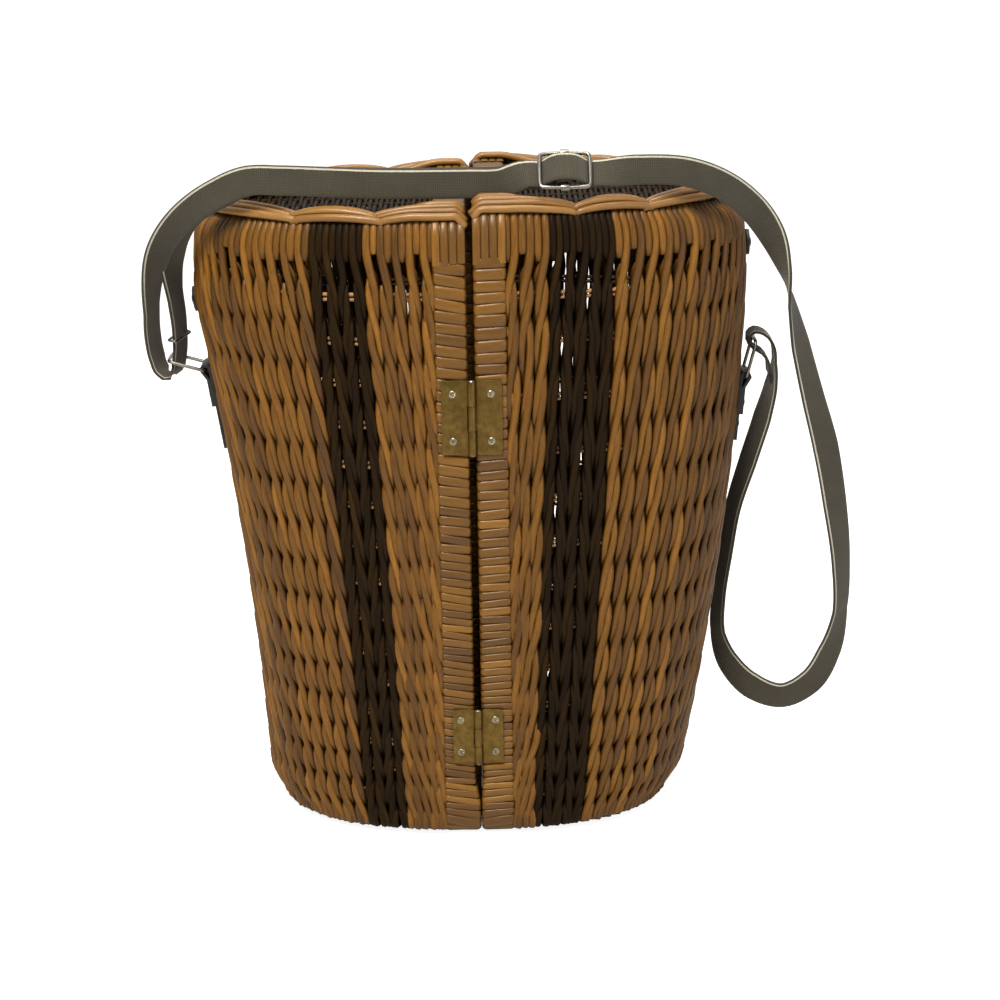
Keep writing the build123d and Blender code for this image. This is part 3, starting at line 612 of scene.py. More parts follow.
def wall_lines(name, rods, heights, length, share_tables):
    """Middle lines of the rods on the shell, and the ways out, at every height."""
    top = WALL_TOP[name]
    tops, feet = share_tables
    path = np.zeros((len(rods), len(heights), 3))
    facing = np.zeros_like(path)
    start_shares = np.array([rod[0] for rod in rods])
    foot_shares = np.interp(start_shares, tops, feet)
    depths = np.array([rod[2] for rod in rods])
    steps = np.array([rod[3] for rod in rods])
    for i, z in enumerate(heights):
        t = min(max((top - z) / (top - STRIPE_FOOT), 0.0), 1.05)
        shares = start_shares * (1 - t) + foot_shares * t + steps[:, i] / length
        place, normal, _ = row_of_points(name, min(z, top - 0.5), np.clip(shares, 0.001, 0.999))
        place[:, 2] = z
        shouldered = float(smoothstep(top - 16, top - 4, z))
        under_border = float(smoothstep(top - 5, top + 8, z)) ** 1.3
        drawn = MID_INSET + SHOULDER_IN * shouldered + BORDER_IN * under_border
        path[:, i] = place - normal * (drawn - depths[:, i])[:, None]
        facing[:, i] = normal
    return path, facing


def wall_rods(name, pale, dark):
    """Upright rods of the wall, in columns of three, with the dark stripes among them."""
    share_tables = share_map(name)
    top = WALL_TOP[name]
    heights = np.linspace(top - 0.5, FOOT, int((top - FOOT) / STRIDE))
    heights = np.concatenate([[top + over for over in UNDER_BORDER], heights])
    rho = row_number(name, heights)
    length = girth(name, 300.0)
    packed = smoothstep(PACKED_FROM, PACKED_BY, heights)
    rods = []
    for column in columns_of(name, share_tables[0], length):
        rods += column_rods(column, rho, heights, packed, length)
    path, facing = wall_lines(name, rods, heights, length, share_tables)
    for k, (_, stained, depth, _, runs) in enumerate(rods):
        tone = float(np.clip(rng.normal(0.5, 0.2), 0.02, 0.98))
        radius = (DARK_RADIUS if stained else ROD_RADIUS) * rng.uniform(0.9, 1.08)
        for first, last, tip in runs:
            if last - first < 3:
                continue
            thick = radius * (1 + 0.1 * packed[first:last] + 0.05 * depth[first:last] / SWING)
            if tip:
                drawn_out = smoothstep(0, TIP_LENGTH, heights[first] - heights[first:last])
                thick = thick * (TIP_RADIUS + (1 - TIP_RADIUS) * drawn_out)
            line, normal = path[k, first:last], facing[k, first:last]
            if last == len(heights):
                line, normal = turned_under(line, normal)
                thick = np.concatenate([thick, np.full(len(line) - len(thick), thick[-1])])
            tube(dark if stained else pale, line, normal, thick, tone, flat=ROD_FLAT)


def wall_stakes(name, stakes):
    """Pairs of pale stakes that run round the wall inside the rods."""
    shares = np.linspace(0.0, 1.0, 90)
    for height in ROWS[name]:
        for shift in (STAKE_APART, -STAKE_APART):
            place, normal, _ = row_of_points(name, height + shift, shares)
            sway = 0.25 * np.sin(shares * 40 + rng.uniform(0, 6))
            line = place - normal * (STAKE_INSET + sway)[:, None]
            radius = STAKE_RADIUS * rng.uniform(0.92, 1.05)
            tube(stakes, line, normal, radius, rng.uniform(0.2, 0.9), sides=6)


# A short rod beside the frame, from its tip down: distance from the frame round the wall,
# lift above its stake, to which the tip's own rise is added, and depth
END_STATIONS = [(-0.6, 0.0, 1.2), (0.6, -3.0, 2.4), (2.6, 0.0, 3.0),
                (4.0, -8.0, 2.6), (4.4, -17.0, 0.6), (4.0, -23.0, -1.5)]


def edge_ends(name, batch):
    """Short rods woven in beside the frame, whose round ends stand over its edge."""
    fine = np.linspace(0, len(END_STATIONS) - 1, 16)
    for back in (False, True):
        for height in ROWS[name][:-1]:
            rise = rng.uniform(6, 11)
            stations = np.array(END_STATIONS)
            stations[:2, 1] += rise
            values = [np.interp(fine, np.arange(len(stations)), column) for column in stations.T]
            places, normals = [], []
            for over, lift, out in zip(*values):
                share = max(over, 0.05) / girth(name, height + lift)
                share = np.array([1 - share if back else share])
                place, normal, _ = row_of_points(name, height + lift, share)
                spot = place[0] - normal[0] * (MID_INSET - out)
                spot[0] += SIDES[name] * min(over, 0)
                places.append(spot)
                normals.append(normal[0])
            radius = END_RADIUS * rng.uniform(0.9, 1.1)
            tube(batch, places, normals, radius, rng.uniform(0.4, 0.98), flat=ROD_FLAT)


def woven_side(name):
    """The rods, stakes, base and top of one half."""
    body = name + "_half"
    pale, dark, stakes = Batch(), Batch(), Batch()
    wall_rods(name, pale, dark)
    wall_stakes(name, stakes)
    edge_ends(name, pale)
    base_rods(name, pale, dark, stakes)
    top_rods(name, dark)
    made = pale.piece(name + "_willow_rods", willow, body)
    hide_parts(name + "_woven_wall", name + "_top_panel")
    made = dark.piece(name + "_dark_rods", dark_willow, body)
    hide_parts(name + "_dark_stripes")
    made = stakes.piece(name + "_pale_stakes", pale_willow, body)


def depth_at(name, z, x):
    """Half depth of the outline at a distance from the split."""
    share = np.clip(x / reach(name, z), 0, 1)
    angle = np.arcsin(share ** (1 / OVAL))
    return DEPTH * np.abs(np.cos(angle)) ** OVAL


STAKE_SPACING = 22.0
PANEL_STAKE = 1.05


def flat_weave(name, rods, stakes, level, shape_z, edge, facing, swing, radius, far, stripe=(0, 0)):
    """A panel's rods, from front to back over pairs of stakes that run outwards.

    The panel lies at a level, keeps clear of the edge of the outline at shape_z, and
    faces up or down. Its stripe is given as distances from the split.
    """
    side = SIDES[name]
    plain, stained = rods
    x = FRAME_BACK + 3.0
    k = 0
    while x < far:
        half = float(depth_at(name, shape_z, x)) - edge
        y = np.linspace(-half, half, max(4, int(half / 4)))
        wave = swing * np.cos(np.pi * y / STAKE_SPACING + np.pi * k)
        path = np.stack([np.full_like(y, side * x), y, level + facing * wave], -1)
        batch = stained if stripe[0] < x < stripe[1] else plain
        thick = radius * rng.uniform(0.93, 1.05)
        tube(batch, path, (0, 0, facing), thick, float(rng.uniform(0.15, 0.85)), sides=6)
        x += 2 * radius + 0.45
        k += 1
    count = int(DEPTH / STAKE_SPACING)
    for j in range(-count, count + 1):
        y = j * STAKE_SPACING
        inside = np.linspace(FRAME_BACK, far, 200)
        fits = inside[depth_at(name, shape_z, inside) - edge > abs(y)]
        if len(fits) < 20:
            continue
        xs = np.linspace(FRAME_BACK, fits[-1], 24)
        for shift in (-1.3, 1.3):
            path = np.stack([side * xs, np.full_like(xs, y + shift), np.full_like(xs, level)], -1)
            tube(stakes, path, (0, 0, 1), PANEL_STAKE, float(rng.uniform(0.2, 0.9)), sides=6)


def base_rods(name, pale, dark, stakes):
    """The woven base, which shows from below."""
    far = float(reach(name, 6.0)) - 6
    flat_weave(name, (pale, dark), stakes, 4.9, 12.0, 14.0, -1, 2.6, 2.05, far, STRIPE[name][1])


def top_rods(name, dark):
    """The top panel inside the border, all in dark rods, whose near black paints in the shade under the
    strap.
    """
    top = WALL_TOP[name]
    flat_weave(name, (dark, dark), dark, top - 5, top, 10.0, 1, 1.5, 1.5, float(reach(name, top)) - 9)


# Border of long rods

# Arches of the border, as shares of the rim that each passes over; they dive under the next
HUMPS = {
    "left": [(-0.052, 0.088), (0.075, 0.225), (0.205, 0.42), (0.40, 0.60),
             (0.58, 0.795), (0.775, 0.925), (0.912, 1.052)],
    "right": [(-0.052, 0.118), (0.105, 0.235), (0.22, 0.43), (0.41, 0.61),
              (0.59, 0.78), (0.765, 0.895), (0.882, 1.052)],
}
# Rods of an arch: how far inwards of the rim and how far above the wall they lie
LANES = [(4.4, 5.2), (7.4, 8.2), (10.8, 9.0), (14.2, 6.8)]
# Where the rods gather between arches: how far inwards, how far below the wall's top, and
# how much of an arch's height is left there
GATHERED = 7.0
GATHERED_BELOW = 2.2
GATHERED_SHARE = 0.55
ARCH_EXTRA = 2.6
# Distances beyond the end of the rim over which rods climb onto the frame and dip behind it
ONTO_FRAME = (-26.0, 3.0)
BEHIND_FRAME = (14.0, 21.0)
BEHIND_DROP = 6.0
RIM_LENGTH = 440.0
BORDER_RADIUS = 2.35
FRAME_TOP = {"left": 396.0, "right": 400.0}
TOP_ROUND = 19.0


def rim_place(name, share, inwards):
    """Points on the rim, carried on along the frame's top for shares out of range."""
    top = WALL_TOP[name]
    place, normal, length = row_of_points(name, top, np.clip(share, 0.0, 1.0))
    flat = unit(normal * np.array([1.0, 1.0, 0.0]))
    over = np.where(share < 0, -share, np.where(share > 1, share - 1, 0.0)) * length
    place = place - flat * inwards[:, None]
    place[:, 0] -= SIDES[name] * over
    return place, flat, over


def border(name):
    """Bundles of long rods that arch along the rim and dive under one another.

    Their ends lie on top of the frame and turn down behind it.
    """
    batch = Batch()
    top = WALL_TOP[name]
    t = np.linspace(0, 1, 34)
    for low, high in HUMPS[name]:
        for lane, (inward, lift) in enumerate(LANES):
            slide_low = rng.uniform(-0.004, 0.012) + 0.004 * lane
            slide_high = rng.uniform(-0.012, 0.004)
            share = np.linspace(low + slide_low * 0.6, high + slide_high, len(t))
            rise = np.sin(np.pi * t) ** 0.55
            if low < 0:
                rise = np.where(t < 0.5, 1.0, rise)
            if high > 1:
                rise = np.where(t > 0.5, 1.0, rise)
            gather = GATHERED_SHARE + (1 - GATHERED_SHARE) * rise
            place, flat, over = rim_place(name, share, GATHERED + (inward - GATHERED) * gather)
            z = top - GATHERED_BELOW + (lift + ARCH_EXTRA) * gather + rng.normal(0, 0.2)
            beyond = np.where(over > 0, over, -np.minimum(share, 1 - share) * RIM_LENGTH)
            corner = np.maximum(TOP_ROUND - DEPTH + np.abs(place[:, 1]), 0)
            frame_top = FRAME_TOP[name] - TOP_ROUND + np.sqrt(np.maximum(TOP_ROUND ** 2 - corner ** 2, 0))
            on_frame = frame_top + BORDER_RADIUS + 0.1
            z = z + (on_frame - z) * smoothstep(*ONTO_FRAME, beyond)
            place[:, 2] = z - BEHIND_DROP * smoothstep(*BEHIND_FRAME, beyond)
            up = unit(flat * 0.4 + np.array([0, 0, 1.0]))
            width = BORDER_RADIUS * (0.82 + 0.18 * rise) * rng.uniform(0.93, 1.05)
            tube(batch, place, up, width, float(np.clip(rng.normal(0.55, 0.2), 0.05, 0.98)), sides=9)
    made = batch.piece(name + "_border_rods", border_willow, name + "_half")
    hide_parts(name + "_rim_border")


# Cane-wrapped frames

BAR_WIDTH = 20.0
BAR_DEPTH = 13.0
BAR_CORNER = 2.6
CORNER_STEPS = 3
# Distance of the bar's middle from the split
BAR_MIDDLE = 12.0
FOOT_ROUND = 14.0
# How far the mouths bulge towards the split, and where: depths of the closure's side, and
# heights down to the foot, between which the bulge grows
FULLER = {"left": 2.9, "right": 0.9}
CLOSURE_SIDE = (60, 86)
TO_FOOT = (40, 20)
# Width of a turn of cane, and how much wider it gets between two heights
TURN_WIDTH = 4.4
TURN_WIDENING = 2.8
WIDENING = (60, 330)
# Ends of the stretches round the two top corners where lengthwise strips cover the turns
BARE_ENDS = ((-93.5, 366.0), (-72.0, 393.5), (72.0, 393.5), (93.5, 366.0))
STRIPS = 4
STRIP_GAP = 0.25
# Lean of the turns, and their profile: shares of the width and heights under the crown
SLANT = {"left": 0.14, "right": 0.07}
TURN = [(0.0, -1.2), (0.06, -0.55), (0.2, -0.18), (0.5, 0.0), (0.8, -0.18), (0.94, -0.55), (1.0, -1.2)]
HIDDEN_TURN = [(0.0, -1.1), (0.5, -1.1), (1.0, -1.1)]
STRIP_ACROSS = np.array([-0.5, -0.46, -0.2, 0.2, 0.46, 0.5])
STRIP_LIFT = np.array([-1.0, -0.25, 0.0, 0.0, -0.25, -1.0])


def bar_line(name, distance):
    """Middle line of the frame's bar in the YZ plane, and the way out, for distances round it.

    The line starts at the middle of the foot, runs forward and up the front.
    """
    inset_line = BAR_DEPTH / 2
    y_far, z_low, z_high = DEPTH - inset_line, inset_line, FRAME_TOP[name] - inset_line
    corners = [(-y_far, z_low), (-y_far, z_high), (y_far, z_high), (y_far, z_low)]
    points, outs = [(0.0, z_low)], [(0.0, -1.0)]
    for i, (y, z) in enumerate(corners):
        round_line = (FOOT_ROUND if z < 200 else TOP_ROUND) - inset_line
        start = math.pi * 1.5 - math.pi / 2 * i
        cy = y - math.copysign(round_line, y)
        cz = z + (round_line if z < 200 else -round_line)
        for step in range(9):
            a = start - math.pi / 2 * step / 8
            points.append((cy + round_line * math.cos(a), cz + round_line * math.sin(a)))
            outs.append((math.cos(a), math.sin(a)))
    points.append((0.0, z_low))
    outs.append((0.0, -1.0))
    points, outs = np.array(points), np.array(outs)
    length = lengths_along(points)
    y = np.interp(distance, length, points[:, 0])
    z = np.interp(distance, length, points[:, 1])
    out = np.stack([np.interp(distance, length, outs[:, k]) for k in (0, 1)], -1)
    return np.stack([y, z], -1), unit(out), length[-1]


def bar_section():
    """Outline of the bar, as x across the mouth and d out of the ring, and its normals."""
    middle = np.array([BAR_WIDTH / 2 - BAR_CORNER, BAR_DEPTH / 2 - BAR_CORNER])
    quarters = ((1, 1), (-1, 1), (-1, -1), (1, -1))
    points, normals = [], []
    for i, quarter in enumerate(quarters):
        for step in range(CORNER_STEPS + 1):
            a = math.pi / 2 * (i + step / CORNER_STEPS)
            out = np.array([math.cos(a), math.sin(a)])
            points.append(middle * quarter + BAR_CORNER * out)
            normals.append(out)
        start = points[-1]
        end = middle * quarters[(i + 1) % 4] + BAR_CORNER * out
        for share in (0.33, 0.67):
            points.append(start + (end - start) * share)
            normals.append(out)
    return np.array(points), np.array(normals)


def add_rows(batch, rows, tone, along, across, closed, flipped):
    """Adds a strip of cane given as rows of points, its faces turned to look outwards."""
    columns = len(rows[0])
    faces = grid_faces(len(rows), columns, closed)
    if flipped:
        faces = [tuple(reversed(face)) for face in faces]
    batch.add(np.concatenate(rows), faces, along, across, tone)


def wound_turns(name, batch, total, bare):
    """Turns of flat cane round the bar, wider towards its top."""
    side = SIDES[name]
    section, out_of = bar_section()
    inner = np.clip(-section[:, 0] / (BAR_WIDTH / 2), 0, 1)
    wraps = []
    distance = 0.0
    while distance < total - 2:
        line, _, _ = bar_line(name, np.array([distance]))
        pitch = TURN_WIDTH + TURN_WIDENING * float(smoothstep(*WIDENING, line[0, 1]))
        pitch *= rng.uniform(0.9, 1.1)
        wraps.append((distance, min(distance + pitch, total)))
        distance += pitch
    for low, high in wraps:
        hidden = any(a < (low + high) / 2 < b for a, b in bare)
        profile = HIDDEN_TURN if hidden else TURN
        lean = SLANT[name] + rng.normal(0, 0.03)
        rows = []
        for share, crown in profile:
            s = low + (high - low) * share + lean * section[:, 0]
            line, out, _ = bar_line(name, np.mod(s, total))
            closing = np.maximum(smoothstep(*CLOSURE_SIDE, line[:, 0]), smoothstep(*TO_FOOT, line[:, 1]))
            closing *= inner
            height = crown * (1 - 0.6 * closing)
            x = side * (BAR_MIDDLE + section[:, 0] + out_of[:, 0] * height - FULLER[name] * closing)
            place = line + out * (section[:, 1] + out_of[:, 1] * height)[:, None]
            rows.append(np.stack([x, place[:, 0], place[:, 1]], -1))
        tone = float(np.clip(rng.normal(0.5, 0.26), 0.02, 0.98))
        along = np.tile(lengths_along(section), len(rows))
        across = np.repeat([share * 2.2 for share, _ in profile], len(section))
        add_rows(batch, rows, tone, along, across, True, side < 0)


def corner_strips(name, batch, bare):
    """Lengthwise strips of cane side by side over the top corners."""
    side = SIDES[name]
    width = BAR_WIDTH / STRIPS - STRIP_GAP
    for low, high in bare:
        for k in range(STRIPS):
            s = np.linspace(low - rng.uniform(0.5, 3), high + rng.uniform(0.5, 3), 26)
            line, out, _ = bar_line(name, s)
            middle = -BAR_WIDTH / 2 + (k + 0.5) * BAR_WIDTH / STRIPS
            x = side * (BAR_MIDDLE + middle + STRIP_ACROSS * width)
            rows = []
            for i in range(len(s)):
                place = line[i] + out[i] * (BAR_DEPTH / 2 + STRIP_LIFT)[:, None]
                rows.append(np.stack([x, place[:, 0], place[:, 1]], -1))
            along = np.repeat(s, len(STRIP_ACROSS))
            across = np.tile(STRIP_ACROSS * width * 0.5, len(s))
            add_rows(batch, rows, float(rng.uniform(0.35, 0.95)), along, across, False, side > 0)


def frame_wraps(name):
    """Flat cane wound round the whole frame, with lengthwise strips over its corners."""
    batch = Batch()
    _, _, total = bar_line(name, np.array([0.0]))
    fine = np.linspace(0, total, 4000)
    line, _, _ = bar_line(name, fine)
    ends = [float(fine[np.argmin(np.hypot(line[:, 0] - y, line[:, 1] - z))]) for y, z in BARE_ENDS]
    bare = [(ends[0], ends[1]), (ends[2], ends[3])]
    wound_turns(name, batch, total, bare)
    corner_strips(name, batch, bare)
    made = batch.piece(name + "_cane_wraps", cane, name + "_half")
    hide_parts(name + "_mouth_frame")


for side_name in SIDES:
    woven_side(side_name)
    border(side_name)
    frame_wraps(side_name)


# Hinge screws

# Radius of the head, radius and height of its dome, its seat, and the cross in it
HEAD_RADIUS = 2.3
DOME_RADIUS = 2.45
DOME_HEIGHT = 0.9
DOME_SUNK = 0.05
SEAT = -101.4
CROSS_DEPTH = 0.75
CROSS_REACH = 1.5
CROSS_HALF = (0.22, 0.42)
CROSS_TURN = math.radians(25)
# Height of each hinge's middle, and the distances between its screws across and up
HINGES = [(271.3, 23.0, 29.0), (68.0, 21.4, 21.0)]


def screw(batch, x, z):
    """Domed wood screw with a cross recess."""
    rings, sides = 12, 48
    verts = []
    for i in range(rings + 1):
        r = HEAD_RADIUS * (1 - i / rings)
        height = DOME_HEIGHT * math.sqrt(1 - (r / DOME_RADIUS) ** 2) - DOME_SUNK
        for k in range(sides):
            a = 2 * math.pi * k / sides
            px, pz = r * math.cos(a), r * math.sin(a)
            u = px * math.cos(CROSS_TURN) + pz * math.sin(CROSS_TURN)
            v = pz * math.cos(CROSS_TURN) - px * math.sin(CROSS_TURN)
            aside = [abs(p) for p, q in ((u, v), (v, u)) if abs(q) < CROSS_REACH]
            sunk = CROSS_DEPTH * float(1 - smoothstep(*CROSS_HALF, min(aside, default=1)))
            verts.append((x + px, SEAT - height + sunk, z + pz))
    faces = grid_faces(rings + 1, sides)
    batch.add(verts, faces, tone=0.5)


for side_name, side in SIDES.items():
    screws = Batch()
    for centre, spread, pitch in HINGES:
        for end in (-1, 1):
            screw(screws, side * spread / 2, centre + end * pitch / 2)
    made = screws.piece(side_name + "_cross_screws", screw_metal, side_name + "_half")
    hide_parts(side_name + "_hinge_screws")


# Shoulder strap

STRAP_WIDTH = 18.0
STRAP_THICKNESS = 1.8
STRAP_STRIDE = 3.0
SELVEDGE = 0.4
SLIDE_CENTRE = np.array([57.5, -83.0, 416.3])
SLIDE_LEAN = math.radians(40.0)
slide_out = np.array([0.0, -math.cos(SLIDE_LEAN), math.sin(SLIDE_LEAN)])
slide_across = np.array([0.0, math.sin(SLIDE_LEAN), math.cos(SLIDE_LEAN)])
UPRIGHT = (0, 0, 1)
EDGEWAYS = (-0.35, -0.93, 0)
FORWARD = (0, -1, 0)


def slide_place(along, raised):
    """Place of the webbing at the slide, along the strap and raised off its middle."""
    return tuple(SLIDE_CENTRE + np.array([1.0, 0, 0]) * along + slide_out * raised)


def alike(width, *places):
    """Stations with the same direction of the webbing's width."""
    return [(place, width) for place in places]


# Stations of the webbing: where its middle runs, and which way its width points, towards
# the pale line
top_run_left = [
    *alike(UPRIGHT, (0, -82, 409.4), (-24, -82, 409.5), (-50, -82, 409.9), (-81, -82, 411.4),
           (-111, -82, 413)),
    ((-130, -79.5, 412.8), (-0.1, 0, 1)),
    ((-152, -72, 403.3), (-0.45, 0, 1)), ((-172.5, -60, 388), (-0.8, -0.15, 0.6)),
    ((-188, -46, 368), (-0.8, -0.5, 0.3)), ((-196, -32, 345), (-0.55, -0.83, 0.1)),
    *alike(EDGEWAYS, (-199, -22, 325), (-200.5, -12, 306), (-199.5, -5, 291), (-197.3, -2, 282.5),
           (-192.5, -1, 277.8), (-187.8, 0, 281.5), (-185.9, 0, 289)),
]
returning_leg = [
    *alike(EDGEWAYS, (-184.6, -3, 310), (-185.0, -13, 332)),
    ((-184.5, -24, 351), (-0.55, -0.83, 0.1)), ((-180.3, -41, 371), (-0.8, -0.5, 0.3)),
    ((-169.5, -55.5, 389.3), (-0.8, -0.15, 0.6)), ((-150, -67.5, 402.8), (-0.45, 0, 1)),
    ((-128.5, -75.5, 412.3), (-0.1, 0, 1)),
    *alike(UPRIGHT, (-110, -78, 412.3), (-81, -78, 411), (-50, -78, 409.8), (-24, -78, 409.5)),
]
long_loop_right = [
    ((102, -80, 415.5), UPRIGHT), ((130, -78, 413.4), (0.1, 0, 1)), ((154, -70, 403), (0.3, 0, 0.95)),
    ((171, -62, 388.5), (0.6, 0, 0.75)), ((182, -54, 373), (0.75, -0.4, 0.5)),
    ((191, -46, 350), (0.4, -0.9, 0.15)), ((197, -40, 327), (-0.25, -0.95, 0)),
    ((204, -35, 298), (-0.65, -0.75, -0.1)), ((213, -30, 263), (-0.8, -0.6, -0.15)),
    ((222, -25, 230), (-0.9, -0.4, -0.2)), ((229, -20, 193), (-0.85, -0.5, -0.1)),
    ((234.5, -15, 152), (-0.7, -0.7, 0)), ((235, -12, 117), (-0.55, -0.8, 0.2)),
    ((229, -9, 88), (-0.6, -0.4, 0.6)), ((217, -7, 66), (-0.6, -0.2, 0.8)), ((199, -5, 56), (-0.1, -0.2, 1)),
    ((179, -1, 62), (0.4, -0.1, 0.9)), ((164.5, 4, 77), (0.6, -0.5, 0.5)),
    ((157.5, 6, 98), (0.4, -0.9, 0.1)), ((158.5, 6, 125), (0.3, -0.95, 0)),
    ((162, 5, 152), (0.35, -0.93, 0)), ((167, 4, 184), (0.4, -0.92, 0)), ((176, 2, 215), (0.5, -0.87, 0)),
    ((184.5, 1, 243), (0.5, -0.87, 0)), ((189.8, 0, 264), (0.3, -0.95, 0)),
    *alike(FORWARD, (191.8, 0, 280), (190.2, 0, 292), (184.5, 0, 299), (178.8, 0, 300.6), (174.9, 0, 297.6),
           (174.7, 0, 293.2), (177.7, 0, 290.2), (183.2, 0, 286.8), (187.2, 0, 281), (188.1, 0, 273)),
]
# At the slide, along the strap and raised: over its bar, and the sewn end folded round it
slide_weave = [(-22, -3.2), (-14, -3.2), (-10, 0.8), (-6.5, 3.9), (0, 5.2),
               (6.5, 3.9), (10, 0.8), (14, -3.2), (22, -3.2)]
slide_fold = [(-22, -5.7), (-15, -5.7), (-9, -4.9), (-1.2, -2.8), (1.6, -2.4),
              (2.9, 0), (1.6, 2.4), (-1.5, 2.6), (-5, 1.4)]
over_bar = [(slide_place(a, r), tuple(slide_across)) for a, r in slide_weave]
round_bar = [(slide_place(a, r), tuple(slide_across)) for a, r in slide_fold]
whole_strap = (long_loop_right[::-1] + over_bar[::-1] + [((20, -82, 409.8), UPRIGHT)] + top_run_left
               + returning_leg + [((0.0, -78, 409.4), UPRIGHT), ((20, -78, 409.8), UPRIGHT)] + round_bar)


def smooth_route(stations, stride):
    """Curve through all the stations, with others set between them."""
    rows = np.array([place for place, _ in stations], float)
    widths = unit(np.array([width for _, width in stations], float))
    gaps = np.linalg.norm(np.diff(rows, axis=0), axis=1)
    places, across = [], []
    for i, gap in enumerate(gaps):
        ends = []
        for k in (i, i + 1):
            if 0 < k < len(gaps):
                before = (rows[k] - rows[k - 1]) / gaps[k - 1]
                after = (rows[k + 1] - rows[k]) / gaps[k]
                ends.append((before * gaps[k] + after * gaps[k - 1]) / (gaps[k] + gaps[k - 1]))
            else:
                ends.append((rows[i + 1] - rows[i]) / gap)
        steps = max(1, int(round(gap / stride)))
        for step in range(steps):
            t = step / steps
            near, far = 1 - 3 * t ** 2 + 2 * t ** 3, 3 * t ** 2 - 2 * t ** 3
            leave, arrive = t - 2 * t ** 2 + t ** 3, t ** 3 - t ** 2
            places.append(rows[i] * near + rows[i + 1] * far + (ends[0] * leave + ends[1] * arrive) * gap)
            across.append(widths[i] * (1 - t) + widths[i + 1] * t)
    places.append(rows[-1])
    across.append(widths[-1])
    return np.array(places), unit(np.array(across))


def strap():
    """The one length of webbing, from the right ring round the left one to the slide."""
    places, widths = smooth_route(whole_strap, STRAP_STRIDE)
    tangent = unit(np.gradient(places, axis=0))
    across = unit(widths - tangent * np.sum(widths * tangent, -1)[:, None])
    face = np.cross(tangent, across)
    half = STRAP_WIDTH / 2
    thick = STRAP_THICKNESS / 2
    upper = [(w, thick) for w in np.linspace(-half + SELVEDGE, half - SELVEDGE, 9)]
    rounded = [(half - 0.08, thick * 0.7), (half, 0.0), (half - 0.08, -thick * 0.7)]
    section = np.array(upper + rounded)
    section = np.concatenate([section, -section])
    verts = places[:, None] + across[:, None] * section[None, :, :1] + face[:, None] * section[None, :, 1:]
    verts = verts.reshape(-1, 3)
    columns = len(section)
    faces = with_ends(grid_faces(len(places), columns), len(places), columns)
    batch = Batch()
    batch.add(verts, faces, np.repeat(lengths_along(places), columns), np.tile(section[:, 0], len(places)))
    made = batch.piece("shoulder_strap", webbing)
    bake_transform(made)
    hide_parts("strap_left_run", "strap_right_run", "strap_sewn_end")


strap()


# Camera, light and floor

CAMERA_PLACE = (0.0159, -1.6, 0.644)
CAMERA_DOWN = math.radians(15.8)
CAMERA_ROLL = math.radians(-0.98)
LENS = 92.8
SENSOR = 36.0
# Lamps: place, aim, size, power and colour
LAMPS = {
    "key": ((-0.35, -1.1, 1.75), (0.0, 0.0, 0.25), 0.6, 36.0, "#fff4e4"),
    "fill": ((1.3, -1.3, 0.5), (0.0, 0.0, 0.2), 1.2, 5.0, "#eef2ff"),
    "top": ((0.1, 0.2, 1.6), (0.0, 0.0, 0.35), 0.8, 9.0, "#fff8ee"),
}


def look():
    """Camera of the photograph, three lamps, a white surround and a pale floor."""
    scene = bpy.context.scene
    camera = in_scene("camera", bpy.data.cameras.new("camera"))
    camera.data.lens = LENS
    camera.data.sensor_width = SENSOR
    camera.data.clip_start = 0.05
    camera.data.clip_end = 30.0
    camera.location = CAMERA_PLACE
    camera.rotation_mode = "QUATERNION"
    forward = Vector((0, math.cos(CAMERA_DOWN), -math.sin(CAMERA_DOWN)))
    camera.rotation_quaternion = forward.to_track_quat("-Z", "Y") @ Quaternion((0, 0, 1), CAMERA_ROLL)
    scene.camera = camera

    for name, (place, target, size, power, tint) in LAMPS.items():
        lamp = bpy.data.lights.new(name, "AREA")
        lamp.shape = "DISK"
        lamp.size = size
        lamp.energy = power
        lamp.color = linear(tint)[:3]
        held = in_scene(name, lamp)
        held.location = place
        held.rotation_mode = "QUATERNION"
        held.rotation_quaternion = (Vector(target) - Vector(place)).to_track_quat("-Z", "Y")

    # The surround is white to look at and in reflections, and lights the part only dimly
    scene.world = bpy.data.worlds.new("studio")
    add = partial(node, empty_tree(scene.world))
    rays = add("LightPath").outputs
    seen = add("Math", {"operation": "MAXIMUM"}, {0: rays["Is Camera Ray"], 1: rays["Is Transmission Ray"]})
    glossy = add("Math", {"operation": "MULTIPLY", 1: 0.6}, {0: rays["Is Glossy Ray"]})
    seen = add("Math", {"operation": "MAXIMUM"}, {0: seen, 1: glossy})
    dim = add("Background", {0: linear("#f1ece4"), 1: 0.28})
    white = add("Background", {0: linear("#ffffff"), 1: 1.0})
    mixed = add("MixShader", {}, {0: seen, 1: dim, 2: white})
    add("OutputWorld", {}, {0: mixed})

    mesh = bpy.data.meshes.new("floor")
    mesh.from_pydata([(-6, -6, 0), (6, -6, 0), (6, 6, 0), (-6, 6, 0)], [], [(0, 1, 2, 3)])
    floor = in_scene("floor", mesh)
    material = bpy.data.materials.new("pale_studio_floor")
    add = partial(node, empty_tree(material))
    matt = add("BsdfDiffuse", {0: linear("#f2f2f2")})
    rays = add("LightPath").outputs
    strength = add("Math", {"operation": "MULTIPLY", 1: 0.88}, {0: rays["Is Camera Ray"]})
    glow = add("Emission", {0: linear("#ffffff")}, {1: strength})
    both = add("AddShader", {}, {0: matt, 1: glow})
    add("OutputMaterial", {}, {0: both})
    mesh.materials.append(material)
    scene.view_settings.view_transform = "Standard"


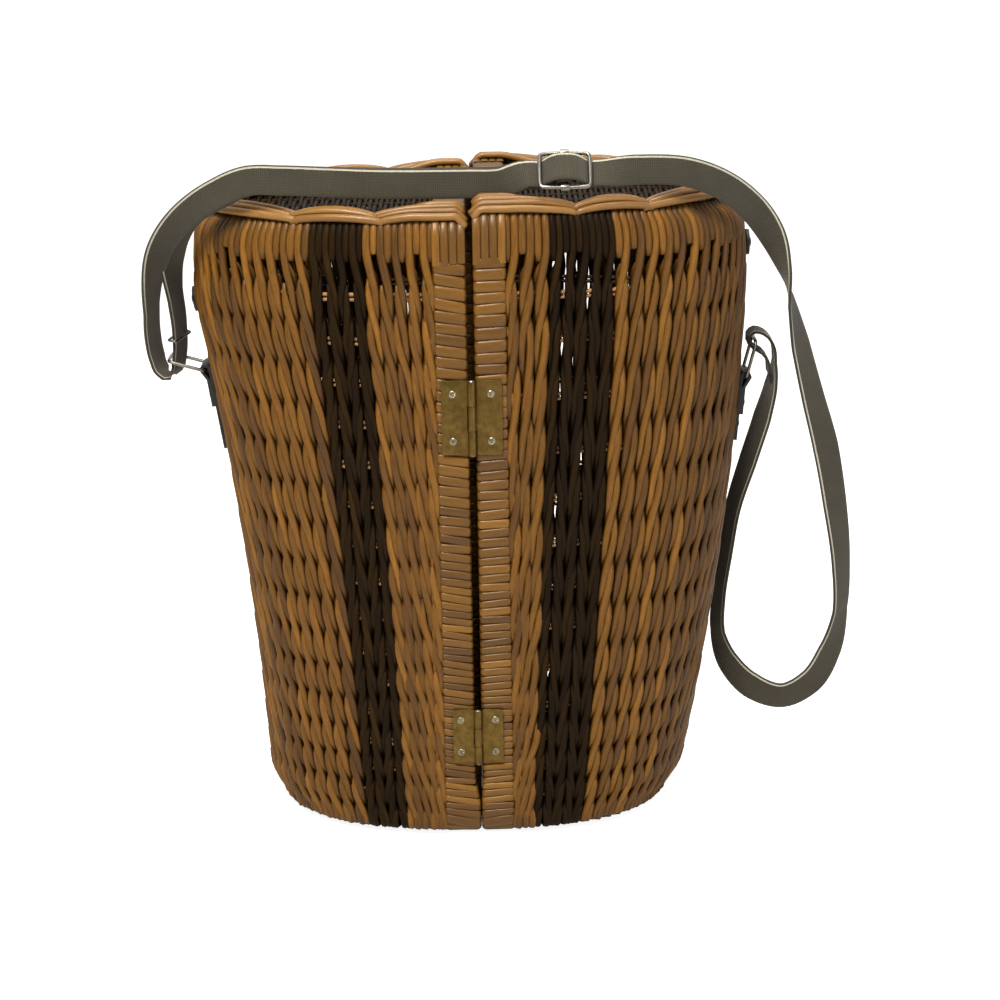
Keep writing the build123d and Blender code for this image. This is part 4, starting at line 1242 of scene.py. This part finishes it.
# Leather with eased edges, domed heads and wire with smooth rounds: finish, slot, width of the
# eased edges, levels of rounding, and the nodes
EASED = [
    (leather, "leather", 0.45, 0, ("ring_tab",)),
    (leather, "leather", 0.4, 0, ("neck_strap", "neck_strap_washer", "closure_tab", "closure_flap")),
    (rivet_metal, "rivet_metal", 0.0, 0, ("tab_rivets", "neck_strap_rivet", "closure_rivets")),
    (stud_metal, "stud_metal", 0.0, 0, ("neck_strap_stud", "closure_stud_cap")),
    (stud_metal, "stud_metal", 0.2, 0, ("closure_stud_base",)),
    (wire_steel, "wire_steel", 0.0, 1, ("strap_ring", "slide_frame", "strap_keeper_loop")),
    (wire_steel, "wire_steel", 0.25, 0, ("slide_bar",)),
    (hinge_metal, "hinge_metal", 0.25, 0, ("upper_hinge_leaf", "lower_hinge_leaf")),
    (pin_metal, "pin_metal", 0.0, 0, ("upper_hinge_pin", "lower_hinge_pin")),
]


def softened(name, material, slot_name, bevel, rounder):
    """Stands for a CAD node: the same form with eased edges and smooth rounds."""
    source = frame["nodes"][name]
    form = bmesh.new()
    form.from_mesh(source.data)
    bmesh.ops.remove_doubles(form, verts=form.verts, dist=1e-5)
    bmesh.ops.dissolve_limit(form, angle_limit=math.radians(1.5), verts=form.verts, edges=form.edges)
    if bevel:
        folds = [edge for edge in form.edges if len(edge.link_faces) == 2]
        edges = [edge for edge in folds if edge.calc_face_angle(0) > math.radians(35)]
        bmesh.ops.bevel(form, geom=edges, offset=bevel * MM, segments=2, profile=0.6, affect="EDGES",
                        clamp_overlap=True)
    mesh = bpy.data.meshes.new(name + "_eased")
    form.to_mesh(mesh)
    form.free()
    mesh.materials.append(material)
    mesh.shade_smooth()
    mesh.set_sharp_from_angle(angle=math.radians(50))
    piece = in_scene(name + "_eased", mesh)
    if rounder:
        finer = piece.modifiers.new("rounder", "SUBSURF")
        finer.levels = rounder
        finer.render_levels = rounder
    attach(piece, source["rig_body"])
    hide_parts(name)


for name in list(frame["nodes"]):
    if frame["nodes"][name].hide_render:
        continue
    kind = name.removeprefix("left_").removeprefix("right_")
    for finish, slot_name, bevel, rounder, kinds in EASED:
        if kind in kinds:
            softened(name, finish, slot_name, bevel, rounder)

look()
